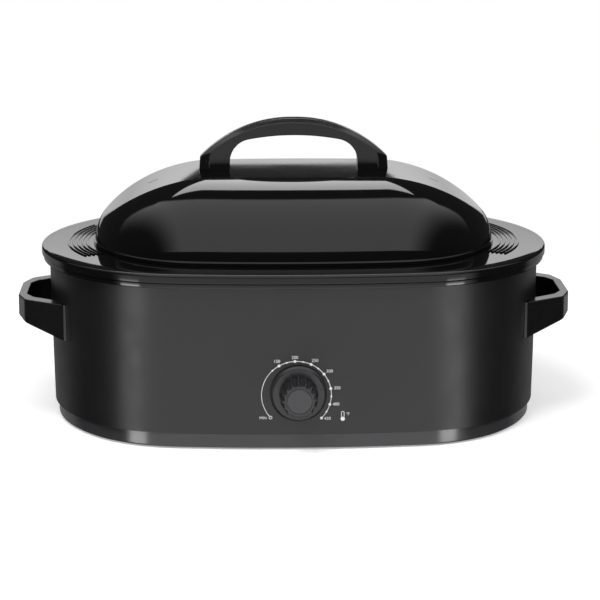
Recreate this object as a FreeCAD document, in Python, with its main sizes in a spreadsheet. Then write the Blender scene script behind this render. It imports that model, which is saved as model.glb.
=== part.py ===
"""Countertop roaster oven, a parametric model in millimetres.

The origin lies on the table under the middle of the cooker's box, +Z is up and the control
dial faces -Y.  The sketches are drawn about the middle of the rim, and each finished piece is
moved back by MIDDLE.  Every size is a cell of the sheet "Sizes", which the pieces are bound to.
"""
import FreeCAD, Part
import math
import os
import re
import Sketcher
from FreeCAD import Placement, Rotation, Vector

# Each size is a number, or a formula of other sizes where a piece takes its place from them.
SIZES = (
    # Outline of the pan's rim: the bows front and back, the rounded ends, the corners between.
    ("rim_half_width", 280), ("rim_half_depth", 205), ("rim_bow", 1080), ("rim_corner", 150),
    ("rim_end_more", 23), ("rim_end", "rim_half_depth + rim_end_more"),
    # Outline of the pan's mouth, of the same kind, inside a flange.
    ("flange_end", 70), ("flange_side", 56), ("mouth_bow", 880), ("mouth_corner", 100),
    ("mouth_half_width", "rim_half_width - flange_end"),
    ("mouth_half_depth", "rim_half_depth - flange_side"),
    ("mouth_end_more", 16), ("mouth_end", "mouth_half_depth + mouth_end_more"),
    # Stack of heights from the table to the pan's rim.
    ("floor_height", 5), ("floor_wall", 1), ("post_height", 22), ("well_wall", 0.8),
    ("well_floor_gap", 14.2), ("pan_wall", 1), ("pan_depth", 148),
    ("well_bottom", "floor_height + floor_wall + post_height"),
    ("rim_top", "well_bottom + well_wall + well_floor_gap + pan_wall + pan_depth"),
    # Roasting pan.
    ("skirt_height", 10), ("rim_round", 3), ("mouth_round", 4), ("pan_draft", 2.5),
    ("pan_corner", 22), ("rib_start", 20), ("rib_first", "mouth_half_width + rib_start"),
    ("rib_pitch", 5), ("rib_count", 5), ("rib_foot", 3), ("rib_crest", 1.2), ("rib_height", 1.4),
    ("rib_sweep", 56),
    # Inner well, which hangs by its flange on the outer body.
    ("well_gap", 8), ("well_corner", 18), ("lip_inset", 3.5), ("lip_height", 15), ("lip_round", 2),
    ("hem_height", 5.5), ("hem_stand", 1.5), ("hem_bevel", 1.2),
    # Outer body and base pan.
    ("body_wall", 1), ("body_inset", 15.5), ("body_taper", 2.4), ("base_top", 17.5),
    ("band_step", 0.5), ("band_bottom", 2), ("band_round", 2.5), ("base_wall", 1.2),
    ("recess_border", 3.5), ("vent_length", 34), ("vent_width", 4), ("vent_pitch", 16),
    ("vent_count", 7), ("vent_inset", 127), ("vent_row", "rim_half_depth - vent_inset"),
    ("foot_radius", 12), ("foot_end", 102), ("foot_across", "rim_half_width - foot_end"),
    ("foot_side", 93), ("foot_along", "rim_half_depth - foot_side"), ("foot_draft", 1.5),
    ("post_end", 90), ("post_across", "mouth_half_width - post_end"),
    ("post_side", 61), ("post_along", "mouth_half_depth - post_side"), ("post_radius", 4.5),
    ("base_screw_radius", 1.9), ("base_screw_length", 12), ("base_head_radius", 4),
    ("base_head_height", 2), ("hole_clear", 0.3),
    # Heater and insulation round the well.
    ("heater_lift", 22), ("heater_bottom", "well_bottom + heater_lift"), ("heater_height", 62),
    ("heater_thick", 1.6), ("heater_gap", 34), ("clamp_height", 30), ("clamp_depth", 12),
    ("clamp_thick", 3), ("blanket_lift", 4), ("blanket_bottom", "well_bottom + blanket_lift"),
    ("blanket_height", 122), ("blanket_thick", 13), ("blanket_clear", 0.4),
    # Thermostat, its bracket and the control knob.
    ("dial_height", 62.5), ("bracket_width", 62), ("bracket_tall", 34), ("bracket_thick", 1.2),
    ("bracket_stand", 1.4), ("control_width", 36), ("control_tall", 28), ("control_depth", 17),
    ("control_round", 3), ("bush_depth", 6), ("shaft_radius", 3.1), ("shaft_clear", 0.06),
    ("shaft_hole", 5), ("bush_radius", 4.6), ("mount_screw_across", 22),
    ("mount_screw_radius", 1.7), ("mount_head_radius", 3.2), ("mount_head_height", 1.6),
    ("sensor_width", 30), ("sensor_tall", 22), ("knob_stand", 0.6), ("knob_skirt_radius", 30),
    ("knob_skirt_edge", 2.4), ("knob_skirt_height", 6), ("knob_grip_radius", 20.8),
    ("knob_face_radius", 18.6), ("knob_height", 35.2), ("knob_flutes", 16),
    ("knob_flute_radius", 3), ("knob_flute_depth", 2.6), ("knob_bore_depth", 24),
    ("knob_boss_radius", 7), ("knob_wall", 2.4), ("knob_front", 4.5), ("knob_rest_turn", 76.5),
    ("pointer_width", 2), ("pointer_depth", 0.8), ("cap_radius", 13), ("cap_thick", 1.8),
    ("cap_stand", 0.8), ("clip_height", 3), ("clip_wall", 0.6),
    # Windows of the blanket, round the clamp at the back and the bracket at the front.
    ("window_clear", 2), ("window_side", 17), ("blanket_window", "bracket_width + 2 * window_side"),
    ("blanket_window_top", "heater_bottom + (heater_height + clamp_height) / 2 + window_clear"),
    # Side handles.
    ("loop_drop", 54), ("loop_top", "rim_top - loop_drop"), ("loop_stand", 25),
    ("loop_reach", "rim_half_width + loop_stand"), ("loop_bar", 9), ("loop_end_height", 23),
    ("loop_root_height", 40), ("loop_half_bar", 33), ("loop_half_knee", 62), ("loop_knee_run", 9),
    ("loop_knee_reach", "loop_reach - loop_knee_run"), ("loop_half_root", 94), ("loop_arm", 15),
    ("loop_arm_run", 44), ("loop_root_arm", 19.5), ("loop_round", 2), ("loop_seat", 0.05),
    ("loop_screw_inset", 16), ("loop_screw_along", "loop_half_root - loop_screw_inset"),
    ("loop_screw_drop", 20), ("loop_screw_radius", 2), ("loop_screw_cover", 30),
    ("loop_screw_end", "loop_knee_reach - loop_screw_cover"), ("loop_head_radius", 4),
    ("loop_head_height", 2.4),
    # Lid: a dome over the mouth, cut off by a barrel vault that runs from front to back.
    ("lid_overhang", 11), ("lid_wall", 1), ("dome_run", 121.4), ("dome_rise", 83.5),
    ("dome_top_angle", 76.5), ("lid_trim", 0.7), ("vault_radius", 186), ("vault_run", 125),
    ("vault_margin", 14.5), ("bead_stand", 1.5), ("bead_height", 4), ("bead_bevel", 1.2),
    ("lid_top", "rim_top + dome_rise * sin(dome_top_angle) - lid_trim"),
    ("vault_flat", "mouth_half_width - vault_run"),
    ("vault_fall", "asin((vault_run + lid_overhang + vault_margin) / vault_radius)"),
    ("vent_slot_end", 54), ("vent_slot_across", "mouth_half_width - vent_slot_end"),
    ("vent_slot_length", 11), ("vent_slot_width", 2.6),
    # Lid handle.
    ("arch_leg_out", 19.5), ("arch_foot", "vault_flat + arch_leg_out"), ("arch_lean", 0.9),
    ("arch_shoulder", "arch_foot - arch_lean"), ("arch_crown", 3), ("arch_height", 56.5),
    ("arch_fall", 42.6),
    ("arch_crown_round", "((arch_shoulder - arch_crown) ^ 2 + arch_fall ^ 2) / (2 * arch_fall)"),
    ("arch_leg_in", 14.5), ("arch_half_opening", "vault_flat - arch_leg_in"),
    ("arch_opening_height", 38.5), ("arch_opening_fall", 9.4),
    ("arch_opening_bow", "(arch_half_opening ^ 2 + arch_opening_fall ^ 2) / (2 * arch_opening_fall)"),
    ("arch_opening_round", 25),
    ("arch_depth", 29), ("arch_bevel", 8), ("arch_side_bevel", 11), ("arch_top_bevel", 3.3),
    ("arch_screw_radius", 2.4), ("arch_screw_length", 18), ("arch_head_radius", 4.6),
    ("arch_head_height", 3), ("washer_radius", 7), ("washer_thick", 1),
    # Wire rack in the pan.
    ("rack_inset", 31), ("rack_wire", 2.4), ("rack_cross_wire", 1.6), ("rack_weld", 0.4),
    ("rack_stand", 14), ("rack_pitch", 30), ("rack_count", 9), ("rack_grip_half", 48),
    ("rack_grip_rise", 58),
    # Wiring inside the base.
    ("block_width", 34), ("block_depth", 16), ("block_tall", 10), ("block_side", 31),
    ("block_along", "mouth_half_depth - block_side"), ("lead_radius", 1.5), ("lead_pitch", 7),
    ("lead_bend", 10), ("bushing_height", 42), ("bushing_radius", 6), ("bushing_flange", 9),
    ("bushing_flange_thick", 2), ("bushing_depth", 9), ("bushing_bore", 3.6), ("fuse_radius", 2.6),
    ("fuse_length", 24),
)

doc = FreeCAD.newDocument("RoasterOven")
sheet = doc.addObject("Spreadsheet::Sheet", "Sizes")
for row, (alias, size) in enumerate(SIZES, start=1):
    sheet.set("A%d" % row, "=%s" % size)
    sheet.setAlias("A%d" % row, alias)
doc.recompute()

NAMES = {alias for alias, size in SIZES}
TOUCH = 1e-4


def cells(formula):
    """Put the sheet's name before each of its aliases in a formula."""
    return re.sub(r"[a-z_]+", lambda word: "Sizes." + word[0] if word[0] in NAMES else word[0], formula)


def amount(formula):
    """The present value of a formula of the sheet's aliases."""
    found = sheet.evalExpression(formula)
    return float(getattr(found, "Value", found))


def bind(thing, **settings):
    """Bind properties to formulas (text) or set them (anything else)."""
    for key, setting in settings.items():
        if isinstance(setting, str):
            thing.setExpression(key.replace("__", "."), cells(setting))
        else:
            setattr(thing, key, setting)
    return thing


def new_body(label):
    body = doc.addObject("PartDesign::Body", label)
    body.Label = label
    return body


def sketch_on(body, name, plane="XY_Plane", offset="0"):
    """A sketch on one of the body's origin planes, or on the ground when there is no body."""
    if body is None:
        sketch = doc.addObject("Sketcher::SketchObject", name)
        sketch.setExpression("Placement.Base.z", cells(offset))
        return sketch
    sketch = body.newObject("Sketcher::SketchObject", name)
    support = next(item for item in body.Origin.OriginFeatures if item.Role == plane)
    sketch.AttachmentSupport = [(support, "")]
    sketch.MapMode = "FlatFace"
    sketch.setExpression("AttachmentOffset.Base.z", cells(offset))
    return sketch


def constrain(sketch, kind, *arguments, formula):
    """Add a measured constraint and bind it to a formula."""
    index = sketch.addConstraint(Sketcher.Constraint(kind, *arguments, amount(formula)))
    sketch.setExpression("Constraints[%d]" % index, cells(formula))


def pin_point(sketch, geometry, end, across, up):
    """Hold a point of the sketch at formulas for its two coordinates."""
    for kind, axis, formula in (("DistanceX", -2, across), ("DistanceY", -1, up)):
        if formula == "0":
            sketch.addConstraint(Sketcher.Constraint("PointOnObject", geometry, end, axis))
        else:
            constrain(sketch, kind, geometry, end, formula=formula)


def polygon(sketch, corners):
    """A closed polygon with corners (across, up), each a pair of formulas."""
    points = [Vector(amount(across), amount(up), 0) for across, up in corners]
    sides = [sketch.addGeometry(Part.LineSegment(start, stop), False)
             for start, stop in zip(points, points[1:] + points[:1])]
    for side, following in zip(sides, sides[1:] + sides[:1]):
        sketch.addConstraint(Sketcher.Constraint("Coincident", side, 2, following, 1))
    for side, (across, up) in zip(sides, corners):
        pin_point(sketch, side, 1, across, up)
    return sketch


def rectangle(sketch, left, bottom, right, top):
    return polygon(sketch, ((left, bottom), (right, bottom), (right, top), (left, top)))


def circle(sketch, across, up, radius):
    centre = Vector(amount(across), amount(up), 0)
    ring = sketch.addGeometry(Part.Circle(centre, Vector(0, 0, 1), amount(radius)), False)
    pin_point(sketch, ring, 3, across, up)
    constrain(sketch, "Radius", ring, formula=radius)
    return sketch


def outline(body, name, family, inset, height):
    """A horizontal outline of eight tangent arcs, parallel to the rim or the mouth at an inset.

    The bows' centres lie on the Y axis and the ends' centres on the X axis; the corner arcs touch both.
    """
    sketch = sketch_on(body, name, offset=height)
    keys = ("half_width", "half_depth", "bow", "corner", "end")
    half_width, half_depth, bow, corner, end = (amount("%s_%s" % (family, key)) for key in keys)
    less = amount(inset)
    end_x, bow_y = half_width - end, half_depth - bow
    span = math.hypot(end_x, bow_y)
    along = ((bow - corner) ** 2 - (end - corner) ** 2 + span ** 2) / (2 * span)
    beside = math.sqrt((bow - corner) ** 2 - along ** 2)
    corner_x = (along * end_x - beside * bow_y) / span
    corner_y = bow_y - (beside * end_x + along * bow_y) / span
    low, high = math.atan2(corner_y, corner_x - end_x), math.atan2(corner_y - bow_y, corner_x)
    turn = math.pi
    arcs = ((end_x, 0, end, -low, low), (corner_x, corner_y, corner, low, high),
            (0, bow_y, bow, high, turn - high), (-corner_x, corner_y, corner, turn - high, turn - low),
            (-end_x, 0, end, turn - low, turn + low),
            (-corner_x, -corner_y, corner, turn + low, turn + high),
            (0, -bow_y, bow, turn + high, 2 * turn - high),
            (corner_x, -corner_y, corner, 2 * turn - high, 2 * turn - low))
    kinds = ("end", "corner", "bow", "corner") * 2
    ids = []
    for centre_x, centre_y, radius, start, stop in arcs:
        ring = Part.Circle(Vector(centre_x, centre_y, 0), Vector(0, 0, 1), radius - less)
        ids.append(sketch.addGeometry(Part.ArcOfCircle(ring, start, stop), False))
    for arc, following in zip(ids, ids[1:] + ids[:1]):
        sketch.addConstraint(Sketcher.Constraint("Tangent", arc, 2, following, 1))
    for arc, kind in zip(ids, kinds):
        constrain(sketch, "Radius", arc, formula="%s_%s - (%s)" % (family, kind, inset))
    for arc, sign in ((ids[0], ""), (ids[4], "-")):
        pin_point(sketch, arc, 3, "%s(%s_half_width - %s_end)" % (sign, family, family), "0")
    for arc, sign in ((ids[2], ""), (ids[6], "-")):
        pin_point(sketch, arc, 3, "0", "%s(%s_half_depth - %s_bow)" % (sign, family, family))
    return sketch


def feature(body, kind, profile, **settings):
    """Add a sketch-based feature to the body and compute it."""
    made = body.newObject("PartDesign::" + kind, body.Name + "_" + kind.lower())
    made.Profile = profile
    bind(made, **settings)
    profile.Visibility = False
    doc.recompute()
    return made


def dress(body, kind, edges, **settings):
    """Round (Fillet) or bevel (Chamfer) edges of the body's last feature."""
    made = body.newObject("PartDesign::" + kind, body.Name + "_" + kind.lower())
    made.Base = (made.BaseFeature, edges)
    bind(made, **settings)
    doc.recompute()
    return made


def edge_names(shape, wanted):
    """Names of the edges that pass the test."""
    return ["Edge%d" % number for number, edge in enumerate(shape.Edges, start=1) if wanted(edge)]


def loop_edges(body, height, inner=False):
    """Names of the outer edges, or of the inner ones, round the widest flat face at a height."""
    shape = body.Shape
    flat = [face for face in shape.Faces
            if face.BoundBox.ZLength < TOUCH and abs(face.BoundBox.ZMin - height) < TOUCH]
    face = max(flat, key=lambda each: each.BoundBox.DiagonalLength)
    rims = [wire for wire in face.Wires if wire.isSame(face.OuterWire) != inner]
    wanted = [edge for wire in rims for edge in wire.Edges]
    return edge_names(shape, lambda edge: any(edge.isSame(each) for each in wanted))


def mirrored(body, features, plane):
    """Repeat features on the other side of one of the body's origin planes."""
    made = body.newObject("PartDesign::Mirrored", body.Name + "_mirrored")
    made.Originals = features
    made.MirrorPlane = (next(item for item in body.Origin.OriginFeatures if item.Role == plane), [""])
    body.Tip = made
    doc.recompute()
    return made


def drafted_core(label, family, inset, top, depth, draft, corner):
    """A solid with a rounded bottom, which a body is hollowed out with."""
    core = new_body(label)
    mouth = outline(core, label + "_mouth", family, inset, top)
    feature(core, "Pad", mouth, Length=depth, Reversed=True, TaperAngle=draft)
    dress(core, "Fillet", loop_edges(core, amount("%s - (%s)" % (top, depth))), Radius=corner)
    return core


def hollow_out(body, core):
    """Cut the core out of the body."""
    made = body.newObject("PartDesign::Boolean", body.Name + "_hollow")
    made.setObjects([core])
    made.Type = "Cut"
    doc.recompute()
    return made


def axis_of(body, role):
    return (next(item for item in body.Origin.OriginFeatures if item.Role == role), [""])


def turned_post(body, name, profile, plane="XZ_Plane"):
    """A solid of revolution about the body's own Z axis."""
    sketch = polygon(sketch_on(body, name, plane), profile)
    return feature(body, "Revolution", sketch, ReferenceAxis=axis_of(body, "Z_Axis"))


# ---------------------------------------------------------------- pan

def roasting_pan():
    """Enamelled steel pan: a wide flange with a turned-down skirt round a drafted tub."""
    body = new_body("roasting_pan")
    rim = outline(body, "pan_rim", "rim", "0", "rim_top")
    feature(body, "Pad", rim, Length="skirt_height", Reversed=True)
    dress(body, "Fillet", loop_edges(body, amount("rim_top")), Radius="rim_round")
    hollow = outline(body, "pan_skirt_inside", "rim", "pan_wall", "rim_top - skirt_height")
    feature(body, "Pocket", hollow, Length="skirt_height - pan_wall", Reversed=True)
    dress(body, "Fillet", loop_edges(body, amount("rim_top - pan_wall")), Radius="rim_round - pan_wall")
    tub = outline(body, "pan_tub_outside", "mouth", "-pan_wall", "rim_top - pan_wall")
    feature(body, "Pad", tub, Length="pan_depth", Reversed=True, TaperAngle="-pan_draft")
    dress(body, "Fillet", loop_edges(body, amount("rim_top - pan_wall - pan_depth")),
          Radius="pan_corner + pan_wall")
    dress(body, "Fillet", loop_edges(body, amount("rim_top - pan_wall"), inner=True),
          Radius="mouth_round + pan_wall")
    hollow_out(body, drafted_core("pan_core", "mouth", "0", "rim_top", "pan_depth", "-pan_draft",
                                  "pan_corner"))
    dress(body, "Fillet", loop_edges(body, amount("rim_top"), inner=True), Radius="mouth_round")
    rib_profile = sketch_on(body, "pan_ribs", "XZ_Plane")
    for number in range(int(amount("rib_count"))):
        rib = "(rib_first + %d * rib_pitch)" % number
        polygon(rib_profile, ((rib + " - rib_foot / 2", "rim_top"), (rib + " + rib_foot / 2", "rim_top"),
                              (rib + " + rib_crest / 2", "rim_top + rib_height"),
                              (rib + " - rib_crest / 2", "rim_top + rib_height")))
    centre, tip = amount("rim_half_width - rim_end"), amount("rim_round")
    spindle = rib_profile.addGeometry(Part.LineSegment(Vector(centre, 0, 0), Vector(centre, tip, 0)), True)
    pin_point(rib_profile, spindle, 1, "rim_half_width - rim_end", "0")
    pin_point(rib_profile, spindle, 2, "rim_half_width - rim_end", "rim_round")
    ribs = feature(body, "Revolution", rib_profile, ReferenceAxis=(rib_profile, ["Axis0"]),
                   Angle="rib_sweep", Midplane=True)
    mirrored(body, [ribs], "YZ_Plane")
    return body


def inner_well():
    """Steel liner: its flange carries the pan and its lip folds down over the outer body."""
    body = new_body("inner_well")
    seat = "rim_top - pan_wall"
    lip = outline(body, "well_lip", "rim", "lip_inset", seat)
    feature(body, "Pad", lip, Length="lip_height", Reversed=True)
    dress(body, "Fillet", loop_edges(body, amount(seat)), Radius="lip_round")
    hem = outline(body, "well_hem", "rim", "lip_inset - hem_stand", seat + " - lip_height")
    feature(body, "Pad", hem, Length="hem_height")
    hem_heights = (amount(seat + " - lip_height"), amount(seat + " - lip_height + hem_height"))
    for height in hem_heights:
        dress(body, "Chamfer", loop_edges(body, height), Size="hem_bevel")
    hollow = outline(body, "well_lip_inside", "rim", "lip_inset + well_wall", seat + " - lip_height")
    feature(body, "Pocket", hollow, Length="lip_height - well_wall", Reversed=True)
    tub = outline(body, "well_tub_outside", "mouth", "-(pan_wall + well_gap + well_wall)",
                  seat + " - well_wall")
    feature(body, "Pad", tub, Length=seat + " - well_wall - well_bottom", Reversed=True)
    dress(body, "Fillet", loop_edges(body, amount("well_bottom")), Radius="well_corner + well_wall")
    hollow_out(body, drafted_core("well_core", "mouth", "-(pan_wall + well_gap)", seat,
                                  seat + " - well_bottom - well_wall", "0", "well_corner"))
    return body


# ---------------------------------------------------------------- housing

SEAT = "(rim_top - pan_wall)"
WELL_OUT = "(pan_wall + well_gap + well_wall)"
WRAP_FRONT = "(rim_half_depth - body_inset + (dial_height - base_top) * tan(body_taper))"
FLOOR_TOP = "(floor_height + floor_wall)"
LOOP_SCREW_LEVEL = "(loop_top - loop_screw_drop)"


def four_circles(sketch, across, along, radius):
    """Four circles, one in each quarter."""
    for side_x in ("", "-"):
        for side_y in ("", "-"):
            circle(sketch, side_x + across, side_y + along, radius)
    return sketch


def outline_ring(body, name, family, inset, width, bottom, height):
    """A hoop of rectangular section whose outside follows an outline."""
    outside = outline(body, name + "_outside", family, inset, bottom)
    feature(body, "Pad", outside, Length=height)
    inside = outline(body, name + "_inside", family, "%s + %s" % (inset, width), bottom)
    return feature(body, "Pocket", inside, Length=height, Reversed=True)


def outer_body():
    """Painted steel wrap, wider at the top, clamped between the base pan and the well's flange."""
    body = new_body("outer_body")
    tall = SEAT + " - well_wall - base_top"
    outside = outline(body, "wrap_outside", "rim", "body_inset", "base_top")
    feature(body, "Pad", outside, Length=tall, TaperAngle="body_taper")
    inside = outline(body, "wrap_inside", "rim", "body_inset + body_wall", "base_top")
    feature(body, "Pocket", inside, Length=tall, Reversed=True, TaperAngle="body_taper")
    front = circle(sketch_on(body, "dial_holes", "XZ_Plane"), "0", "dial_height", "shaft_hole")
    for side in ("", "-"):
        circle(front, side + "mount_screw_across", "dial_height", "mount_screw_radius + hole_clear")
    feature(body, "Pocket", front, Length="rim_half_depth", Reversed=True)
    rear = sketch_on(body, "cord_hole", "XZ_Plane")
    circle(rear, "0", "bushing_height", "bushing_radius + hole_clear")
    feature(body, "Pocket", rear, Length="rim_half_depth")
    sides = sketch_on(body, "handle_holes", "YZ_Plane")
    for side in ("", "-"):
        circle(sides, side + "loop_screw_along", LOOP_SCREW_LEVEL, "loop_screw_radius + hole_clear")
    feature(body, "Pocket", sides, Length="2 * rim_half_width", Midplane=True)
    return body


def base_pan():
    """Darker pressed pan that closes the bottom, with a raised floor and two rows of vents."""
    body = new_body("base_pan")
    inset = "(body_inset + band_step)"
    band = outline(body, "base_outside", "rim", inset, "band_bottom")
    feature(body, "Pad", band, Length="base_top - band_bottom")
    dress(body, "Fillet", loop_edges(body, amount("band_bottom")), Radius="band_round")
    recess = outline(body, "base_recess", "rim", inset + " + recess_border", "band_bottom")
    feature(body, "Pocket", recess, Length="floor_height - band_bottom", Reversed=True)
    inside = outline(body, "base_inside", "rim", inset + " + base_wall", "base_top")
    feature(body, "Pocket", inside, Length="base_top - " + FLOOR_TOP)
    openings = sketch_on(body, "base_openings", offset="floor_height")
    count = int(amount("vent_count"))
    for number in range(count):
        middle = "(%g * vent_pitch)" % (number - (count - 1) / 2)
        for row in ("vent_row", "-vent_row"):
            rectangle(openings, middle + " - vent_width / 2", row + " - vent_length / 2",
                      middle + " + vent_width / 2", row + " + vent_length / 2")
    four_circles(openings, "post_across", "post_along", "base_screw_radius + hole_clear")
    feature(body, "Pocket", openings, Length="floor_wall", Reversed=True)
    return body


def rubber_feet():
    body = new_body("rubber_feet")
    soles = four_circles(sketch_on(body, "foot_soles"), "foot_across", "foot_along", "foot_radius")
    feature(body, "Pad", soles, Length="floor_height", TaperAngle="-foot_draft")
    return body


def well_posts():
    """Four threaded posts between the base pan's floor and the well's bottom."""
    body = new_body("well_posts")
    posts = four_circles(sketch_on(body, "post_rounds", offset=FLOOR_TOP), "post_across", "post_along",
                         "post_radius")
    feature(body, "Pad", posts, Length="post_height")
    bores = four_circles(sketch_on(body, "post_bores", offset=FLOOR_TOP), "post_across", "post_along",
                         "base_screw_radius + shaft_clear")
    feature(body, "Pocket", bores, Length="base_screw_length", Reversed=True)
    return body


def base_screws():
    body = new_body("base_screws")
    heads = four_circles(sketch_on(body, "base_heads", offset="floor_height"), "post_across",
                         "post_along", "base_head_radius")
    feature(body, "Pad", heads, Length="base_head_height", Reversed=True)
    shanks = four_circles(sketch_on(body, "base_shanks", offset="floor_height"), "post_across",
                          "post_along", "base_screw_radius")
    feature(body, "Pad", shanks, Length="base_screw_length")
    return body


# ---------------------------------------------------------------- heater

def heating_band():
    """Flat band heater round the well, open at the back."""
    body = new_body("heating_band")
    outline_ring(body, "heater", "mouth", "-(%s + heater_thick)" % WELL_OUT, "heater_thick",
                 "heater_bottom", "heater_height")
    gap = sketch_on(body, "heater_gap_cut", offset="heater_bottom")
    rectangle(gap, "-heater_gap / 2", "0", "heater_gap / 2", "rim_half_depth")
    feature(body, "Pocket", gap, Length="heater_height", Reversed=True)
    return body


def band_clamp():
    """Strap that joins the band's two ends and pulls it tight."""
    body = new_body("band_clamp")
    middle = "(heater_bottom + heater_height / 2)"
    outline_ring(body, "clamp", "mouth", "-(%s + heater_thick + clamp_thick)" % WELL_OUT, "clamp_thick",
                 middle + " - clamp_height / 2", "clamp_height")
    keep = sketch_on(body, "clamp_trim", offset=middle + " - clamp_height / 2")
    rectangle(keep, "-rim_half_width", "-rim_half_depth", "rim_half_width", "rim_half_depth")
    rectangle(keep, "-(heater_gap / 2 + clamp_depth)", "mouth_half_depth - clamp_depth",
              "heater_gap / 2 + clamp_depth", "mouth_half_depth + 3 * clamp_depth")
    feature(body, "Pocket", keep, Length="clamp_height", Reversed=True)
    return body


def insulation_blanket():
    """Glass-fibre blanket round the heater, with windows for the thermostat and the clamp."""
    body = new_body("insulation_blanket")
    outline_ring(body, "blanket", "mouth",
                 "-(%s + heater_thick + blanket_clear + blanket_thick)" % WELL_OUT, "blanket_thick",
                 "blanket_bottom", "blanket_height")
    window = sketch_on(body, "blanket_windows", "XZ_Plane")
    rectangle(window, "-blanket_window / 2", "blanket_bottom - well_wall", "blanket_window / 2",
              "blanket_window_top")
    feature(body, "Pocket", window, Length="2 * rim_half_depth", Midplane=True)
    return body


# ---------------------------------------------------------------- thermostat and knob

BRACKET_FRONT = "(%s - body_wall - bracket_stand)" % WRAP_FRONT
CONTROL_FRONT = "(%s - bracket_thick)" % BRACKET_FRONT
CONTROL_BACK = "(%s - control_depth)" % CONTROL_FRONT
KNOB_BACK = ("(rim_half_depth - body_inset + (dial_height + knob_skirt_radius - base_top) * tan(body_taper)"
             " + knob_stand)")
MIDDLE = "((%s + knob_height + cap_stand - rim_half_depth) / 2)" % KNOB_BACK


def front_sketch(body, name, distance):
    """A sketch facing the front, at a distance before the cooker's middle."""
    return sketch_on(body, name, "XZ_Plane", distance)


def thermostat():
    """Bimetal control: a moulded case with the threaded bush that the shaft turns in."""
    body = new_body("thermostat")
    case = front_sketch(body, "case_front", CONTROL_FRONT)
    rectangle(case, "-control_width / 2", "dial_height - control_tall / 2", "control_width / 2",
              "dial_height + control_tall / 2")
    feature(body, "Pad", case, Length="control_depth", Reversed=True)
    upright = edge_names(body.Shape, lambda edge: edge.BoundBox.YLength > amount("control_depth") - TOUCH)
    dress(body, "Fillet", upright, Radius="control_round")
    bush = circle(front_sketch(body, "bush_round", CONTROL_FRONT), "0", "dial_height", "bush_radius")
    feature(body, "Pad", bush, Length="bracket_thick + bracket_stand + body_wall")
    bore = front_sketch(body, "bush_bore", WRAP_FRONT)
    circle(bore, "0", "dial_height", "shaft_radius + shaft_clear")
    feature(body, "Pocket", bore, Length="%s - %s + bush_depth" % (WRAP_FRONT, CONTROL_FRONT))
    return body


def thermostat_bracket():
    body = new_body("thermostat_bracket")
    plate = front_sketch(body, "bracket_plate", BRACKET_FRONT)
    rectangle(plate, "-bracket_width / 2", "dial_height - bracket_tall / 2", "bracket_width / 2",
              "dial_height + bracket_tall / 2")
    circle(plate, "0", "dial_height", "bush_radius + shaft_clear")
    for side in ("", "-"):
        circle(plate, side + "mount_screw_across", "dial_height", "mount_screw_radius + shaft_clear")
    feature(body, "Pad", plate, Length="bracket_thick", Reversed=True)
    return body


def bracket_screws():
    """Two screws from the front, hidden under the knob's skirt."""
    body = new_body("bracket_screws")
    heads = front_sketch(body, "bracket_heads", WRAP_FRONT)
    shanks = front_sketch(body, "bracket_shanks", WRAP_FRONT)
    for side in ("", "-"):
        circle(heads, side + "mount_screw_across", "dial_height", "mount_head_radius")
        circle(shanks, side + "mount_screw_across", "dial_height", "mount_screw_radius")
    feature(body, "Pad", heads, Length="mount_head_height")
    feature(body, "Pad", shanks, Length="body_wall + bracket_stand + 2 * bracket_thick", Reversed=True)
    return body


def sensor_plate():
    """Aluminium block that carries the heater's warmth to the control."""
    body = new_body("sensor_plate")
    block = front_sketch(body, "sensor_front", CONTROL_BACK)
    rectangle(block, "-sensor_width / 2", "dial_height - sensor_tall / 2", "sensor_width / 2",
              "dial_height + sensor_tall / 2")
    feature(body, "Pad", block, Reversed=True,
            Length="%s - (mouth_half_depth + %s + heater_thick + shaft_clear)" % (CONTROL_BACK, WELL_OUT))
    return body


def face_front(body, distance):
    """Turn a body modelled along +Z so that it points forwards from the dial's centre."""
    turn = Rotation(Vector(1, 0, 0), 90) * Rotation(Vector(0, 0, 1), -amount("knob_rest_turn"))
    body.Placement = Placement(Vector(0, 0, 0), turn)
    body.setExpression("Placement.Base.y", cells("%s - %s" % (MIDDLE, distance)))
    body.setExpression("Placement.Base.z", cells("dial_height"))


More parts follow.
